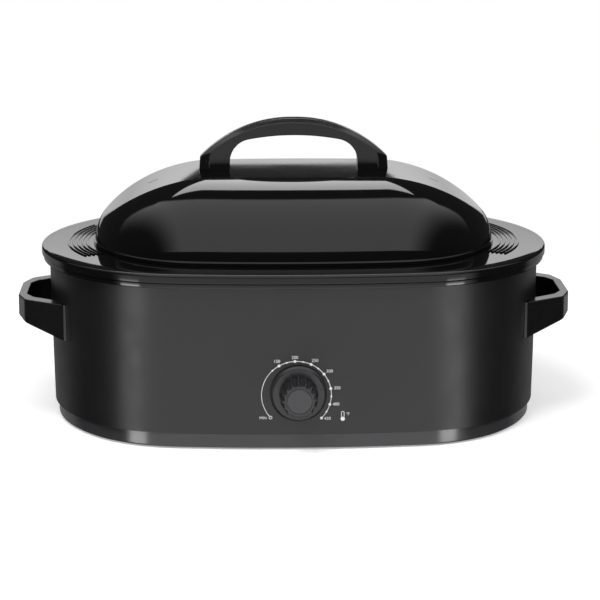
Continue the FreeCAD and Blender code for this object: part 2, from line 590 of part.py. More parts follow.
def control_knob():
    """Hollow moulded knob: a sloped skirt, a fluted grip, a boss for the shaft."""
    body = new_body("control_knob")
    bore, inside = "shaft_radius + shaft_clear", "knob_face_radius - knob_flute_depth - knob_wall"
    turned_post(body, "knob_section", (
        (bore, "knob_wall / 2"), ("knob_boss_radius", "knob_wall / 2"),
        ("knob_boss_radius", "knob_height - knob_front"), (inside, "knob_height - knob_front"),
        (inside, "knob_skirt_height - knob_wall / 2"),
        ("knob_skirt_radius - 1.5 * knob_wall", "knob_skirt_height - knob_wall / 2"),
        ("knob_skirt_radius - knob_wall / 2", "knob_skirt_edge"),
        ("knob_skirt_radius - knob_wall / 2", "0"), ("knob_skirt_radius", "0"),
        ("knob_skirt_radius", "knob_skirt_edge"),
        ("knob_skirt_radius - knob_wall", "knob_skirt_height"), ("knob_grip_radius", "knob_skirt_height"),
        ("knob_face_radius", "knob_height"), ("0", "knob_height"), ("0", "knob_bore_depth"),
        (bore, "knob_bore_depth")))
    flute_ends = [circle(sketch_on(body, "flute_" + name, offset=height), "0",
                         "%s + knob_flute_radius - knob_flute_depth" % radius, "knob_flute_radius")
                  for name, height, radius in (("face", "knob_height", "knob_face_radius"),
                                               ("foot", "knob_skirt_height", "knob_grip_radius"))]
    cut = body.newObject("PartDesign::SubtractiveLoft", "knob_flute")
    cut.Profile, cut.Sections = flute_ends[0], [flute_ends[1]]
    doc.recompute()
    ring = body.newObject("PartDesign::PolarPattern", "knob_flutes")
    ring.Originals = [cut]
    ring.Axis = axis_of(body, "Z_Axis")
    bind(ring, Angle=360, Occurrences="knob_flutes")
    body.Tip = ring
    doc.recompute()
    seat = circle(sketch_on(body, "cap_seat", offset="knob_height"), "0", "0", "cap_radius + shaft_clear")
    feature(body, "Pocket", seat, Length="cap_thick - cap_stand")
    notch = sketch_on(body, "knob_notch", offset="knob_skirt_height")
    rectangle(notch, "-pointer_width / 2", "knob_grip_radius + knob_wall", "pointer_width / 2",
              "knob_skirt_radius - knob_wall - pointer_width / 2")
    feature(body, "Pocket", notch, Length="pointer_depth")
    face_front(body, KNOB_BACK)
    return body


def knob_cap():
    body = new_body("knob_cap")
    base = "knob_height + cap_stand - cap_thick"
    disc = circle(sketch_on(body, "cap_disc", offset=base), "0", "0", "cap_radius")
    feature(body, "Pad", disc, Length="cap_thick")
    dress(body, "Fillet", loop_edges(body, amount("knob_height + cap_stand")), Radius="cap_stand")
    face_front(body, KNOB_BACK)
    return body


def knob_clip():
    """Spring clip round the knob's boss."""
    body = new_body("knob_clip")
    ring = sketch_on(body, "clip_ring", offset="knob_wall")
    circle(ring, "0", "0", "knob_boss_radius + clip_wall")
    circle(ring, "0", "0", "knob_boss_radius")
    feature(body, "Pad", ring, Length="clip_height")
    face_front(body, KNOB_BACK)
    return body


def thermostat_shaft():
    """Shaft with a flat, from the control's bush into the knob."""
    body = new_body("thermostat_shaft")
    start = "%s - bush_depth + 2 * shaft_clear - %s" % (CONTROL_FRONT, KNOB_BACK)
    rod = circle(sketch_on(body, "shaft_round", offset=start), "0", "0", "shaft_radius")
    feature(body, "Pad", rod, Length="knob_bore_depth - shaft_clear - (%s)" % start)
    flat = sketch_on(body, "shaft_flat", offset="knob_bore_depth - shaft_clear")
    rectangle(flat, "-shaft_radius", "shaft_radius / 2", "shaft_radius", "2 * shaft_radius")
    feature(body, "Pocket", flat, Length="knob_bore_depth - knob_wall")
    face_front(body, KNOB_BACK)
    return body


# ---------------------------------------------------------------- wiring

def back_sketch(body, name, distance):
    """A sketch across the back, at a distance behind the cooker's middle."""
    return sketch_on(body, name, "XZ_Plane", "-" + distance)


WRAP_BACK = "(rim_half_depth - body_inset + (bushing_height + bushing_flange - base_top) * tan(body_taper))"


def cord_bushing():
    """Moulded bushing in the hole at the back that the supply cord would come out of."""
    body = new_body("cord_bushing")
    barrel = circle(back_sketch(body, "bushing_barrel", WRAP_BACK), "0", "bushing_height", "bushing_radius")
    feature(body, "Pad", barrel, Length="bushing_depth")
    flange = circle(back_sketch(body, "bushing_face", WRAP_BACK), "0", "bushing_height", "bushing_flange")
    feature(body, "Pad", flange, Length="bushing_flange_thick", Reversed=True)
    bore = back_sketch(body, "bushing_bore_cut", "(%s + bushing_flange_thick)" % WRAP_BACK)
    circle(bore, "0", "bushing_height", "bushing_bore")
    feature(body, "Pocket", bore, Length="bushing_depth + bushing_flange_thick", Reversed=True)
    return body


def terminal_block():
    """Three-way block on the base pan's floor, near the cord's bushing."""
    body = new_body("terminal_block")
    foot = sketch_on(body, "block_foot", offset=FLOOR_TOP)
    rectangle(foot, "-block_width / 2", "block_along", "block_width / 2", "block_along + block_depth")
    feature(body, "Pad", foot, Length="block_tall")
    slots = sketch_on(body, "block_slots", offset=FLOOR_TOP + " + block_tall")
    for side in ("", "-"):
        rectangle(slots, "%s(block_width / 6) - floor_wall / 2" % side, "block_along",
                  "%s(block_width / 6) + floor_wall / 2" % side, "block_along + block_depth")
    feature(body, "Pocket", slots, Length="block_tall / 2")
    return body


def lead_path(points, bend):
    """Straight runs joined by tangent arcs of one radius, as one wire."""
    edges = []
    start = points[0]
    for before, corner, after in zip(points, points[1:], points[2:]):
        into, out = (corner - before).normalize(), (after - corner).normalize()
        half = into.getAngle(out) / 2
        first, last = corner - into * bend * math.tan(half), corner + out * bend * math.tan(half)
        inward = (out - into).normalize()
        middle = corner + inward * bend * (1 / math.cos(half) - 1)
        edges += [Part.LineSegment(start, first).toShape(), Part.Arc(first, middle, last).toShape()]
        start = last
    edges.append(Part.LineSegment(start, points[-1]).toShape())
    return Part.Wire(edges)


def internal_leads():
    """Insulated leads from the terminal block, along the floor, up to the control."""
    radius, bend, low = amount("lead_radius"), amount("lead_bend"), amount(FLOOR_TOP + " + lead_radius")
    leads = []
    for number in (-1, 0, 1):
        across = number * amount("lead_pitch")
        front = -amount(CONTROL_BACK) + amount("control_depth") / 2
        points = [Vector(across, amount("block_along"), low), Vector(across, front, low),
                  Vector(across, front, amount("dial_height - control_tall / 2"))]
        spine = lead_path(points, bend)
        section = Part.Wire(Part.Circle(points[0], Vector(0, 1, 0), radius).toShape())
        leads.append(spine.makePipeShell([section], True, True))
    made = doc.addObject("Part::Feature", "internal_leads")
    made.Label = "internal_leads"
    made.Shape = Part.makeCompound(leads)
    return made


def thermal_fuse():
    """Sleeved fuse strapped to the well's bottom."""
    fuse = doc.addObject("Part::Cylinder", "thermal_fuse")
    fuse.Label = "thermal_fuse"
    fuse.Placement = Placement(Vector(0, 0, 0), Rotation(Vector(0, 1, 0), 90))
    bind(fuse, Radius="fuse_radius", Height="fuse_length", Placement__Base__x="post_across / 2",
         Placement__Base__z="well_bottom - fuse_radius")
    return fuse


# ---------------------------------------------------------------- side handles

HANDLE_ROOT = "(loop_knee_reach - loop_arm_run)"


def side_handle_right():
    """Hollow loop with a thin upright bar and arms that deepen towards the body."""
    body = new_body("side_handle_right")
    plan = sketch_on(body, "loop_plan", offset="loop_top")
    polygon(plan, (("mouth_half_width", "-loop_half_root"), (HANDLE_ROOT, "-loop_half_root"),
                   ("loop_knee_reach", "-loop_half_knee"), ("loop_reach", "-loop_half_bar"),
                   ("loop_reach", "loop_half_bar"), ("loop_knee_reach", "loop_half_knee"),
                   (HANDLE_ROOT, "loop_half_root"), ("mouth_half_width", "loop_half_root")))
    feature(body, "Pad", plan, Length="loop_root_height", Reversed=True)
    seat = outline(body, "loop_seat_trim", "rim", "body_inset - loop_seat", "base_top")
    feature(body, "Pocket", seat, Length="rim_top - base_top", Reversed=True, TaperAngle="body_taper")
    gap = sketch_on(body, "loop_gap", offset="loop_top")
    inner_root, inner_knee = "(loop_half_root - loop_root_arm)", "(loop_half_knee - loop_arm)"
    polygon(gap, (("0", "-" + inner_root), (HANDLE_ROOT, "-" + inner_root),
                  ("loop_knee_reach - loop_bar", "-" + inner_knee),
                  ("loop_reach - loop_bar", "-(loop_half_bar - loop_bar / 2)"),
                  ("loop_reach - loop_bar", "loop_half_bar - loop_bar / 2"),
                  ("loop_knee_reach - loop_bar", inner_knee), (HANDLE_ROOT, inner_root), ("0", inner_root)))
    feature(body, "Pocket", gap, Length="loop_root_height")
    slope = sketch_on(body, "loop_underside", "XZ_Plane")
    polygon(slope, ((HANDLE_ROOT, "loop_top - loop_root_height"),
                    ("loop_reach", "loop_top - loop_end_height"),
                    ("loop_reach + loop_bar", "loop_top - loop_end_height"),
                    ("loop_reach + loop_bar", "loop_top - 2 * loop_root_height"),
                    (HANDLE_ROOT, "loop_top - 2 * loop_root_height")))
    feature(body, "Pocket", slope, Length="2 * rim_half_depth", Midplane=True)
    crown = amount("loop_top")
    long_ones = amount("loop_bar / 2")
    top = edge_names(body.Shape, lambda edge: abs(edge.BoundBox.ZMin - crown) < TOUCH
                     and edge.BoundBox.ZLength < TOUCH and edge.BoundBox.XMax > amount(HANDLE_ROOT)
                     and edge.Length > long_ones and isinstance(edge.Curve, Part.Line))
    dress(body, "Fillet", top, Radius="loop_round")
    holes = sketch_on(body, "loop_screw_holes", "YZ_Plane")
    for side in ("", "-"):
        circle(holes, side + "loop_screw_along", LOOP_SCREW_LEVEL, "loop_screw_radius + shaft_clear")
    feature(body, "Pocket", holes, Length="loop_screw_end + shaft_clear", Reversed=True)
    return body


def mirror_of(source, label):
    """The same piece on the other side of the cooker."""
    made = doc.addObject("Part::Mirroring", label)
    made.Label = label
    made.Source = source
    made.Normal = Vector(1, 0, 0)
    doc.recompute()
    return made


def side_handle_screws():
    """Two screws a side, from inside the outer body into the handles' arms."""
    body = new_body("side_handle_screws")
    wall_radius = ("(rim_end - body_inset - body_wall + (%s - base_top) * tan(body_taper))"
                   % LOOP_SCREW_LEVEL)
    head_face = ("(rim_half_width - rim_end - hole_clear"
                 " + sqrt(%s ^ 2 - (loop_screw_along + loop_head_radius) ^ 2))" % wall_radius)
    made = []
    shank = "loop_screw_end - " + head_face
    for name, radius, length, back in (("loop_heads", "loop_head_radius", "loop_head_height", True),
                                       ("loop_shanks", "loop_screw_radius", shank, False)):
        rounds = sketch_on(body, name, "YZ_Plane", head_face)
        for side in ("", "-"):
            circle(rounds, side + "loop_screw_along", LOOP_SCREW_LEVEL, radius)
        made.append(feature(body, "Pad", rounds, Length=length, Reversed=back))
    mirrored(body, made, "YZ_Plane")
    return body


# ---------------------------------------------------------------- lid

DOME_STEPS = 6


def dome(name, wall):
    """Loft through parallel outlines whose insets and heights follow a quarter of an ellipse."""
    sections = []
    for step in range(DOME_STEPS + 1):
        angle = "(dome_top_angle * %d / %d)" % (step, DOME_STEPS)
        inset = "%s + (dome_run - %s) * (1 - cos(%s)) - lid_overhang" % (wall, wall, angle)
        height = "rim_top + (dome_rise - %s) * sin(%s)" % (wall, angle)
        sections.append(outline(None, "%s_section" % name, "mouth", inset, height))
    loft = doc.addObject("Part::Loft", name)
    loft.Sections = sections
    loft.Solid = True
    return loft


def vault(name, wall):
    """Barrel vault across the dome: flat in the middle, falling in an arc to both ends."""
    sketch = sketch_on(None, name + "_profile")
    sketch.Placement = Placement(Vector(0, 0, 0), Rotation(Vector(1, 0, 0), 90))
    flat, radius, top = "vault_flat", "vault_radius - %s" % wall, "lid_top - %s" % wall
    centre_up = "lid_top - vault_radius"
    fall = math.radians(amount("vault_fall"))
    low = "rim_top - skirt_height"
    ids = []
    right = Part.Circle(Vector(amount(flat), amount(centre_up), 0), Vector(0, 0, 1), amount(radius))
    left = Part.Circle(Vector(-amount(flat), amount(centre_up), 0), Vector(0, 0, 1), amount(radius))
    arc_right = Part.ArcOfCircle(right, math.pi / 2 - fall, math.pi / 2)
    arc_left = Part.ArcOfCircle(left, math.pi / 2, math.pi / 2 + fall)
    floor_right = Vector(arc_right.StartPoint.x, amount(low), 0)
    floor_left = Vector(arc_left.EndPoint.x, amount(low), 0)
    pieces = (Part.LineSegment(floor_right, arc_right.StartPoint), arc_right,
              Part.LineSegment(arc_right.EndPoint, arc_left.StartPoint), arc_left,
              Part.LineSegment(arc_left.EndPoint, floor_left), Part.LineSegment(floor_left, floor_right))
    for piece in pieces:
        ids.append(sketch.addGeometry(piece, False))
    upright_right, bend_right, crown, bend_left, upright_left, ground = ids
    for kind, first, end, second, start in (
            ("Coincident", upright_right, 2, bend_right, 1), ("Tangent", bend_right, 2, crown, 1),
            ("Tangent", crown, 2, bend_left, 1), ("Coincident", bend_left, 2, upright_left, 1),
            ("Coincident", upright_left, 2, ground, 1), ("Coincident", ground, 2, upright_right, 1)):
        sketch.addConstraint(Sketcher.Constraint(kind, first, end, second, start))
    for upright in (upright_right, upright_left):
        sketch.addConstraint(Sketcher.Constraint("Vertical", upright))
    pin_point(sketch, bend_right, 3, flat, centre_up)
    pin_point(sketch, bend_left, 3, "-" + flat, centre_up)
    constrain(sketch, "Radius", bend_right, formula=radius)
    reach = "vault_flat + (%s) * sin(vault_fall)" % radius
    constrain(sketch, "DistanceX", upright_right, 1, formula=reach)
    constrain(sketch, "DistanceX", upright_left, 2, formula="-(%s)" % reach)
    constrain(sketch, "DistanceY", upright_right, 1, formula=low)
    constrain(sketch, "DistanceY", upright_left, 2, formula=low)
    block = doc.addObject("Part::Extrusion", name)
    block.Base = sketch
    block.DirMode = "Custom"
    block.Dir = Vector(0, 1, 0)
    block.Solid = True
    block.Symmetric = True
    bind(block, LengthFwd="2 * rim_half_depth")
    return block


def join(kind, name, first, second):
    """A boolean of two shapes: Common, Fuse or Cut."""
    made = doc.addObject("Part::" + kind, name)
    made.Base, made.Tool = first, second
    doc.recompute()
    return made


def lid_shell():
    """Pressed steel lid: a dome with a hollow of the same form, a rolled bead, slots and screw holes."""
    outside = join("Common", "lid_outside", dome("lid_dome", "0"), vault("lid_vault", "0"))
    inside = join("Common", "lid_inside", dome("lid_hollow_dome", "lid_wall"),
                  vault("lid_hollow_vault", "lid_wall"))
    skin = join("Cut", "lid_skin", outside, inside)
    body = new_body("lid_shell")
    body.BaseFeature = skin
    doc.recompute()
    bead = outline(body, "bead_outside", "mouth", "-(lid_overhang + bead_stand)", "rim_top")
    feature(body, "Pad", bead, Length="bead_height")
    hollow = outline(body, "bead_inside", "mouth", "lid_wall - lid_overhang", "rim_top")
    feature(body, "Pocket", hollow, Length="bead_height", Reversed=True)
    dress(body, "Chamfer", loop_edges(body, amount("rim_top + bead_height")), Size="bead_bevel")
    openings = sketch_on(body, "lid_openings", offset="lid_top")
    for side in ("", "-"):
        circle(openings, side + ARCH_SCREW, "0", "arch_screw_radius + hole_clear")
        slot = side + "vent_slot_across"
        rectangle(openings, slot + " - vent_slot_length / 2", "-vent_slot_width / 2",
                  slot + " + vent_slot_length / 2", "vent_slot_width / 2")
    feature(body, "Pocket", openings, Length="lid_top - rim_top - bead_height")
    return body


ARCH_SCREW = "(vault_flat - washer_radius - hole_clear)"


def arch_side(sketch):
    """The arch seen from the front: upright legs and one wide bow on each side of the crown."""
    crown, top = amount("arch_crown"), amount("lid_top + arch_height")
    foot, level, radius = amount("arch_foot"), amount("lid_top"), amount("arch_crown_round")
    lean = math.acos(amount("arch_shoulder - arch_crown") / radius)
    bows = [Part.ArcOfCircle(Part.Circle(Vector(side * crown, top - radius, 0), Vector(0, 0, 1), radius),
                             *sorted((math.pi / 2, math.pi / 2 - side * (math.pi / 2 - lean))))
            for side in (1, -1)]
    edges = (Part.LineSegment(Vector(-foot, level, 0), Vector(foot, level, 0)),
             Part.LineSegment(Vector(foot, level, 0), bows[0].StartPoint), bows[0],
             Part.LineSegment(bows[0].EndPoint, bows[1].StartPoint), bows[1],
             Part.LineSegment(bows[1].EndPoint, Vector(-foot, level, 0)))
    ground, leg_right, bow_right, top_line, bow_left, leg_left = ids = [
        sketch.addGeometry(edge, False) for edge in edges]
    for first, second in zip(ids, ids[1:] + ids[:1]):
        kind = "Tangent" if top_line in (first, second) else "Coincident"
        sketch.addConstraint(Sketcher.Constraint(kind, first, 2, second, 1))
    pin_point(sketch, ground, 1, "-arch_foot", "lid_top")
    pin_point(sketch, ground, 2, "arch_foot", "lid_top")
    for bow, side in ((bow_right, ""), (bow_left, "-")):
        pin_point(sketch, bow, 3, side + "arch_crown", "lid_top + arch_height - arch_crown_round")
        constrain(sketch, "Radius", bow, formula="arch_crown_round")
    constrain(sketch, "DistanceX", leg_right, 2, formula="arch_shoulder")
    constrain(sketch, "DistanceX", leg_left, 1, formula="-arch_shoulder")
    return sketch


def arch_opening(sketch):
    """The opening under the arch: upright sides and a slightly bowed ceiling."""
    half, level, radius = (amount(name) for name in ("arch_half_opening", "lid_top", "arch_opening_bow"))
    centre = amount("lid_top + arch_opening_height") - radius
    spread = math.asin(half / radius)
    bow = Part.ArcOfCircle(Part.Circle(Vector(0, centre, 0), Vector(0, 0, 1), radius),
                           math.pi / 2 - spread, math.pi / 2 + spread)
    edges = (Part.LineSegment(Vector(-half, level, 0), Vector(half, level, 0)),
             Part.LineSegment(Vector(half, level, 0), bow.StartPoint), bow,
             Part.LineSegment(bow.EndPoint, Vector(-half, level, 0)))
    ground, right, ceiling, left = ids = [sketch.addGeometry(edge, False) for edge in edges]
    for first, second in zip(ids, ids[1:] + ids[:1]):
        sketch.addConstraint(Sketcher.Constraint("Coincident", first, 2, second, 1))
    pin_point(sketch, ground, 1, "-arch_half_opening", "lid_top")
    pin_point(sketch, ground, 2, "arch_half_opening", "lid_top")
    pin_point(sketch, ceiling, 3, "0", "lid_top + arch_opening_height - arch_opening_bow")
    constrain(sketch, "Radius", ceiling, formula="arch_opening_bow")
    for upright in (right, left):
        sketch.addConstraint(Sketcher.Constraint("Vertical", upright))
    return sketch


def lid_handle():
    """Wide bowed arch with a flat front, bevelled along its legs and its crown."""
    body = new_body("lid_handle")
    side = arch_side(sketch_on(body, "arch_side", "XZ_Plane"))
    feature(body, "Pad", side, Length="arch_depth", Midplane=True)
    gap = arch_opening(sketch_on(body, "arch_gap", "XZ_Plane"))
    feature(body, "Pocket", gap, Length="2 * arch_depth", Midplane=True)
    half_opening, depth = amount("arch_half_opening"), amount("arch_depth")
    corners = edge_names(body.Shape, lambda edge: edge.BoundBox.YLength > depth - TOUCH
                         and abs(abs(edge.CenterOfMass.x) - half_opening) < TOUCH
                         and edge.CenterOfMass.z > amount("lid_top") + TOUCH)
    dress(body, "Fillet", corners, Radius="arch_opening_round")
    bevels = sketch_on(body, "arch_leg_bevels", offset="lid_top")
    for x in ("", "-"):
        for y in ("", "-"):
            polygon(bevels, [(x + "(%s)" % across, y + "(%s)" % along) for across, along in (
                ("arch_foot - arch_side_bevel", "arch_depth / 2"),
                ("arch_foot", "arch_depth / 2 - arch_bevel"),
                ("arch_foot + arch_bevel", "arch_depth / 2 - arch_bevel"),
                ("arch_foot + arch_bevel", "arch_depth / 2 + arch_bevel"),
                ("arch_foot - arch_side_bevel", "arch_depth / 2 + arch_bevel"))])
    feature(body, "Pocket", bevels, Length="arch_height", Reversed=True)
    for side in (1, -1):
        rims = edge_names(body.Shape, lambda edge: abs(side * edge.CenterOfMass.y - depth / 2) < TOUCH
                          and edge.BoundBox.YLength < TOUCH and on_crown(edge))
        bevel = dress(body, "Chamfer", rims, Size="arch_top_bevel", Size2="arch_bevel")
        bevel.ChamferType, bevel.FlipDirection = "Two distances", side < 0
        doc.recompute()
    holes = sketch_on(body, "arch_screw_holes", offset="lid_top")
    for side in ("", "-"):
        circle(holes, side + ARCH_SCREW, "0", "arch_screw_radius + shaft_clear")
    feature(body, "Pocket", holes, Length="arch_screw_length", Reversed=True)
    return body


def on_crown(edge):
    """Whether an edge of the arch's front or back lies along its bows or its top line."""
    middle = edge.valueAt((edge.FirstParameter + edge.LastParameter) / 2)
    beyond = max(abs(middle.x) - amount("arch_crown"), 0)
    rise = math.sqrt(max(amount("arch_crown_round") ** 2 - beyond ** 2, 0))
    level = amount("lid_top + arch_height - arch_crown_round") + rise
    return abs(middle.z - level) < TOUCH


def lid_handle_washers():
    body = new_body("lid_handle_washers")
    rings = sketch_on(body, "washer_rings", offset="lid_top - lid_wall")
    for side in ("", "-"):
        circle(rings, side + ARCH_SCREW, "0", "washer_radius")
        circle(rings, side + ARCH_SCREW, "0", "arch_screw_radius + hole_clear")
    feature(body, "Pad", rings, Length="washer_thick", Reversed=True)
    return body


def lid_handle_screws():
    """Two screws from under the lid's skin, up into the handle's legs."""
    body = new_body("lid_handle_screws")
    seat = "lid_top - lid_wall - washer_thick"
    heads, shanks = sketch_on(body, "arch_heads", offset=seat), sketch_on(body, "arch_shanks", offset=seat)
    for side in ("", "-"):
        circle(heads, side + ARCH_SCREW, "0", "arch_head_radius")
        circle(shanks, side + ARCH_SCREW, "0", "arch_screw_radius")
    feature(body, "Pad", heads, Length="arch_head_height", Reversed=True)
    feature(body, "Pad", shanks, Length="arch_screw_length")
    return body


# ---------------------------------------------------------------- rack

def roasting_rack():
    """Welded wire rack: a hoop, cross wires on it, and a raised grip at each end that runs down as feet."""
    body = new_body("roasting_rack")
    floor, hoop = "(rim_top - pan_depth)", "(rim_top - pan_depth + rack_stand)"
    wires = sketch_on(body, "rack_wires", "XZ_Plane")
    count = int(amount("rack_count"))
    for number in range(count):
        circle(wires, "%g * rack_pitch" % (number - (count - 1) / 2),
               hoop + " + 2 * rack_wire + rack_cross_wire - rack_weld", "rack_cross_wire")
    feature(body, "Pad", wires, Length="2 * mouth_half_depth", Midplane=True)
    trim = outline(body, "rack_trim", "mouth", "rack_inset + rack_wire", hoop)
    rectangle(trim, "-rim_half_width", "-rim_half_depth", "rim_half_width", "rim_half_depth")
    feature(body, "Pocket", trim, Length="6 * rack_wire", Reversed=True)
    outline_ring(body, "hoop", "mouth", "rack_inset", "2 * rack_wire", hoop, "2 * rack_wire")
    grip = ("(mouth_half_width - mouth_end"
            " + sqrt((mouth_end - rack_inset - rack_wire) ^ 2 - rack_grip_half ^ 2))")
    path = sketch_on(body, "grip_path", "YZ_Plane", grip)
    crown = hoop + " + rack_grip_rise"
    points = (("-rack_grip_half", floor), ("-rack_grip_half", crown), ("rack_grip_half", crown),
              ("rack_grip_half", floor))
    ends = [Vector(*map(amount, point), 0) for point in points]
    runs = [path.addGeometry(Part.LineSegment(*pair), False) for pair in zip(ends, ends[1:])]
    for run, following in zip(runs, runs[1:]):
        path.addConstraint(Sketcher.Constraint("Coincident", run, 2, following, 1))
    for run, point in zip(runs, points):
        pin_point(path, run, 1, *point)
    pin_point(path, runs[-1], 2, *points[-1])
    round_wire = circle(sketch_on(body, "grip_round", offset=floor), grip, "-rack_grip_half", "rack_wire")
    pipe = body.newObject("PartDesign::AdditivePipe", "rack_grip")
    pipe.Profile = round_wire
    pipe.Spine = (path, ["Edge1", "Edge2", "Edge3"])
    pipe.Transition = "Round corner"
    doc.recompute()
    mirrored(body, [pipe], "YZ_Plane")
    return body


# ---------------------------------------------------------------- checks and files

def main():
    pieces = [make() for make in (
        roasting_pan, inner_well, outer_body, base_pan, rubber_feet, well_posts, base_screws, heating_band,
        band_clamp, insulation_blanket, thermostat, thermostat_bracket, bracket_screws, sensor_plate,
        control_knob, knob_cap, knob_clip, thermostat_shaft, cord_bushing, terminal_block, internal_leads,
        thermal_fuse, side_handle_right, side_handle_screws, lid_shell, lid_handle, lid_handle_washers,
        lid_handle_screws, roasting_rack)]
    for piece in pieces:
        if not any(path.endswith("Placement.Base.y") for path, formula in piece.ExpressionEngine):
            piece.setExpression("Placement.Base.y", cells(MIDDLE))
    doc.recompute()
    pieces.append(mirror_of(next(piece for piece in pieces if piece.Label == "side_handle_right"),
                            "side_handle_left"))
    doc.recompute()
    failed = [item.Name for item in doc.Objects if "Invalid" in item.State or "Error" in item.State]
    if failed:
        raise RuntimeError("failed objects: " + ", ".join(failed))
    for piece in pieces:
        if piece.Shape.isNull() or not piece.Shape.isValid():
            raise RuntimeError("bad shape: " + piece.Label)
    os.makedirs("parts", exist_ok=True)
    for piece in pieces:
        piece.Shape.exportStep("parts/%s.step" % piece.Label)
        print(piece.Label, len(piece.Shape.Solids), piece.Shape.BoundBox)


main()
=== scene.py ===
"""Countertop roaster oven: the finished looks of its pieces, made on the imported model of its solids."""
import math

import bmesh
import bpy
import numpy as np
from bpy.props import FloatProperty, FloatVectorProperty, IntProperty, PointerProperty
from mathutils import Euler, Matrix, Vector


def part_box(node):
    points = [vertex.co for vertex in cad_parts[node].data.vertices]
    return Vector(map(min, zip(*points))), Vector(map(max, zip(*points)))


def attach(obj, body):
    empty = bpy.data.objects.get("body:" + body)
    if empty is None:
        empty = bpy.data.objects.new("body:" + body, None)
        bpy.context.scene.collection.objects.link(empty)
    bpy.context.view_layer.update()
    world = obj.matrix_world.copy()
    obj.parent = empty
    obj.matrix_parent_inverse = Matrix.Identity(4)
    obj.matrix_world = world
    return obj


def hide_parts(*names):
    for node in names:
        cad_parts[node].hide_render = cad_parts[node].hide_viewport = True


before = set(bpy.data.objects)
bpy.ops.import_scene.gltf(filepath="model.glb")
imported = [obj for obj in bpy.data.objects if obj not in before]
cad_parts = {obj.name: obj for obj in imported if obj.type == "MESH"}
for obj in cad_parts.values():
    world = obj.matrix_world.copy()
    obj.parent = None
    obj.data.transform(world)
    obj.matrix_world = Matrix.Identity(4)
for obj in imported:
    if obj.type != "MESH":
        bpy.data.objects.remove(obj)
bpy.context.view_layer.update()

bl_info = {
    "name": "Roaster Oven",
    "version": (1, 0, 0),
    "blender": (4, 5, 0),
    "location": "3D View > Sidebar > Roaster",
    "description": "Makes the pieces of a countertop roaster oven, their finishes and a plain studio",
    "category": "Object",
}

# Lengths are in metres unless a comment says millimetres.
MM = 0.001
# Edges that turn by more degrees than this stay sharp, and corners nearer than this are one.
CREASE = 35
SAME_SPOT = 1e-6
# The cooker's middle along Y, which the outlines are drawn about.
MIDDLE = sum(corner.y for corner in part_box("roasting_pan")) / 2


def paint(code):
    """An sRGB hex colour as linear red, green, blue and alpha."""
    parts = [int(code[at:at + 2], 16) / 255 for at in (0, 2, 4)]
    linear = [part / 12.92 if part <= 0.04045 else ((part + 0.055) / 1.055) ** 2.4 for part in parts]
    return tuple(linear) + (1.0,)


def length(name, size, about):
    """A length property; its default is written in millimetres."""
    return FloatProperty(name=name, description=about, default=size * MM, unit="LENGTH", precision=4)


def turn(name, degrees, about):
    return FloatProperty(name=name, description=about, default=math.radians(degrees), subtype="ANGLE")


def number(name, count, about):
    return IntProperty(name=name, description=about, default=count, min=1)


def colour(name, code, about):
    return FloatVectorProperty(name=name, description=about, default=paint(code), subtype="COLOR", size=4,
                               min=0, max=1)


# ---------------------------------------------------------------- sizes and colours

class RoasterOutline(bpy.types.PropertyGroup):
    """Two outlines of eight tangent arcs: the pan's rim and the pan's mouth."""
    rim_half_width: length("Rim half width", 280, "Middle of the rim to its rounded end")
    rim_half_depth: length("Rim half depth", 205, "Middle of the rim to its front")
    rim_bow: length("Rim bow", 1080, "Radius of the rim's long sides")
    rim_corner: length("Rim corner", 150, "Radius between a long side and an end of the rim")
    rim_end: length("Rim end", 228, "Radius of the rim's ends")
    mouth_half_width: length("Mouth half width", 210, "Middle of the mouth to its end")
    mouth_half_depth: length("Mouth half depth", 149, "Middle of the mouth to its front")
    mouth_bow: length("Mouth bow", 880, "Radius of the mouth's long sides")
    mouth_corner: length("Mouth corner", 100, "Radius between a long side and an end of the mouth")
    mouth_end: length("Mouth end", 165, "Radius of the mouth's ends")
    rim_top: length("Rim top", 192, "Table to the top of the pan's flange")


class RoasterPan(bpy.types.PropertyGroup):
    wall: length("Sheet", 1, "Thickness of the pan's sheet")
    skirt: length("Skirt", 10, "Height of the turned-down edge")
    edge_run: length("Edge run", 15, "Width over which the flange starts to fall at its edge")
    edge_fall: length("Edge fall", 0.9, "How far the flange falls before its edge turns down")
    rim_round: length("Rim round", 3, "Radius where the flange turns down")
    mouth_round: length("Mouth round", 4, "Radius where the flange turns into the tub")
    depth: length("Depth", 148, "Flange to the tub's floor")
    draft: turn("Draft", 2.5, "Slope of the tub's wall")
    corner: length("Corner", 22, "Radius round the tub's floor")
    rib_first: length("First rib", 230, "Middle of the rim to the first rib")
    rib_pitch: length("Rib pitch", 5, "From one rib to the next")
    rib_count: number("Ribs", 5, "Ribs at each end of the flange")
    rib_width: length("Rib width", 3, "Width of a rib at its foot")
    rib_height: length("Rib height", 1.4, "Height of a rib over the flange")
    rib_sweep: turn("Rib sweep", 56, "Angle that a rib runs through")


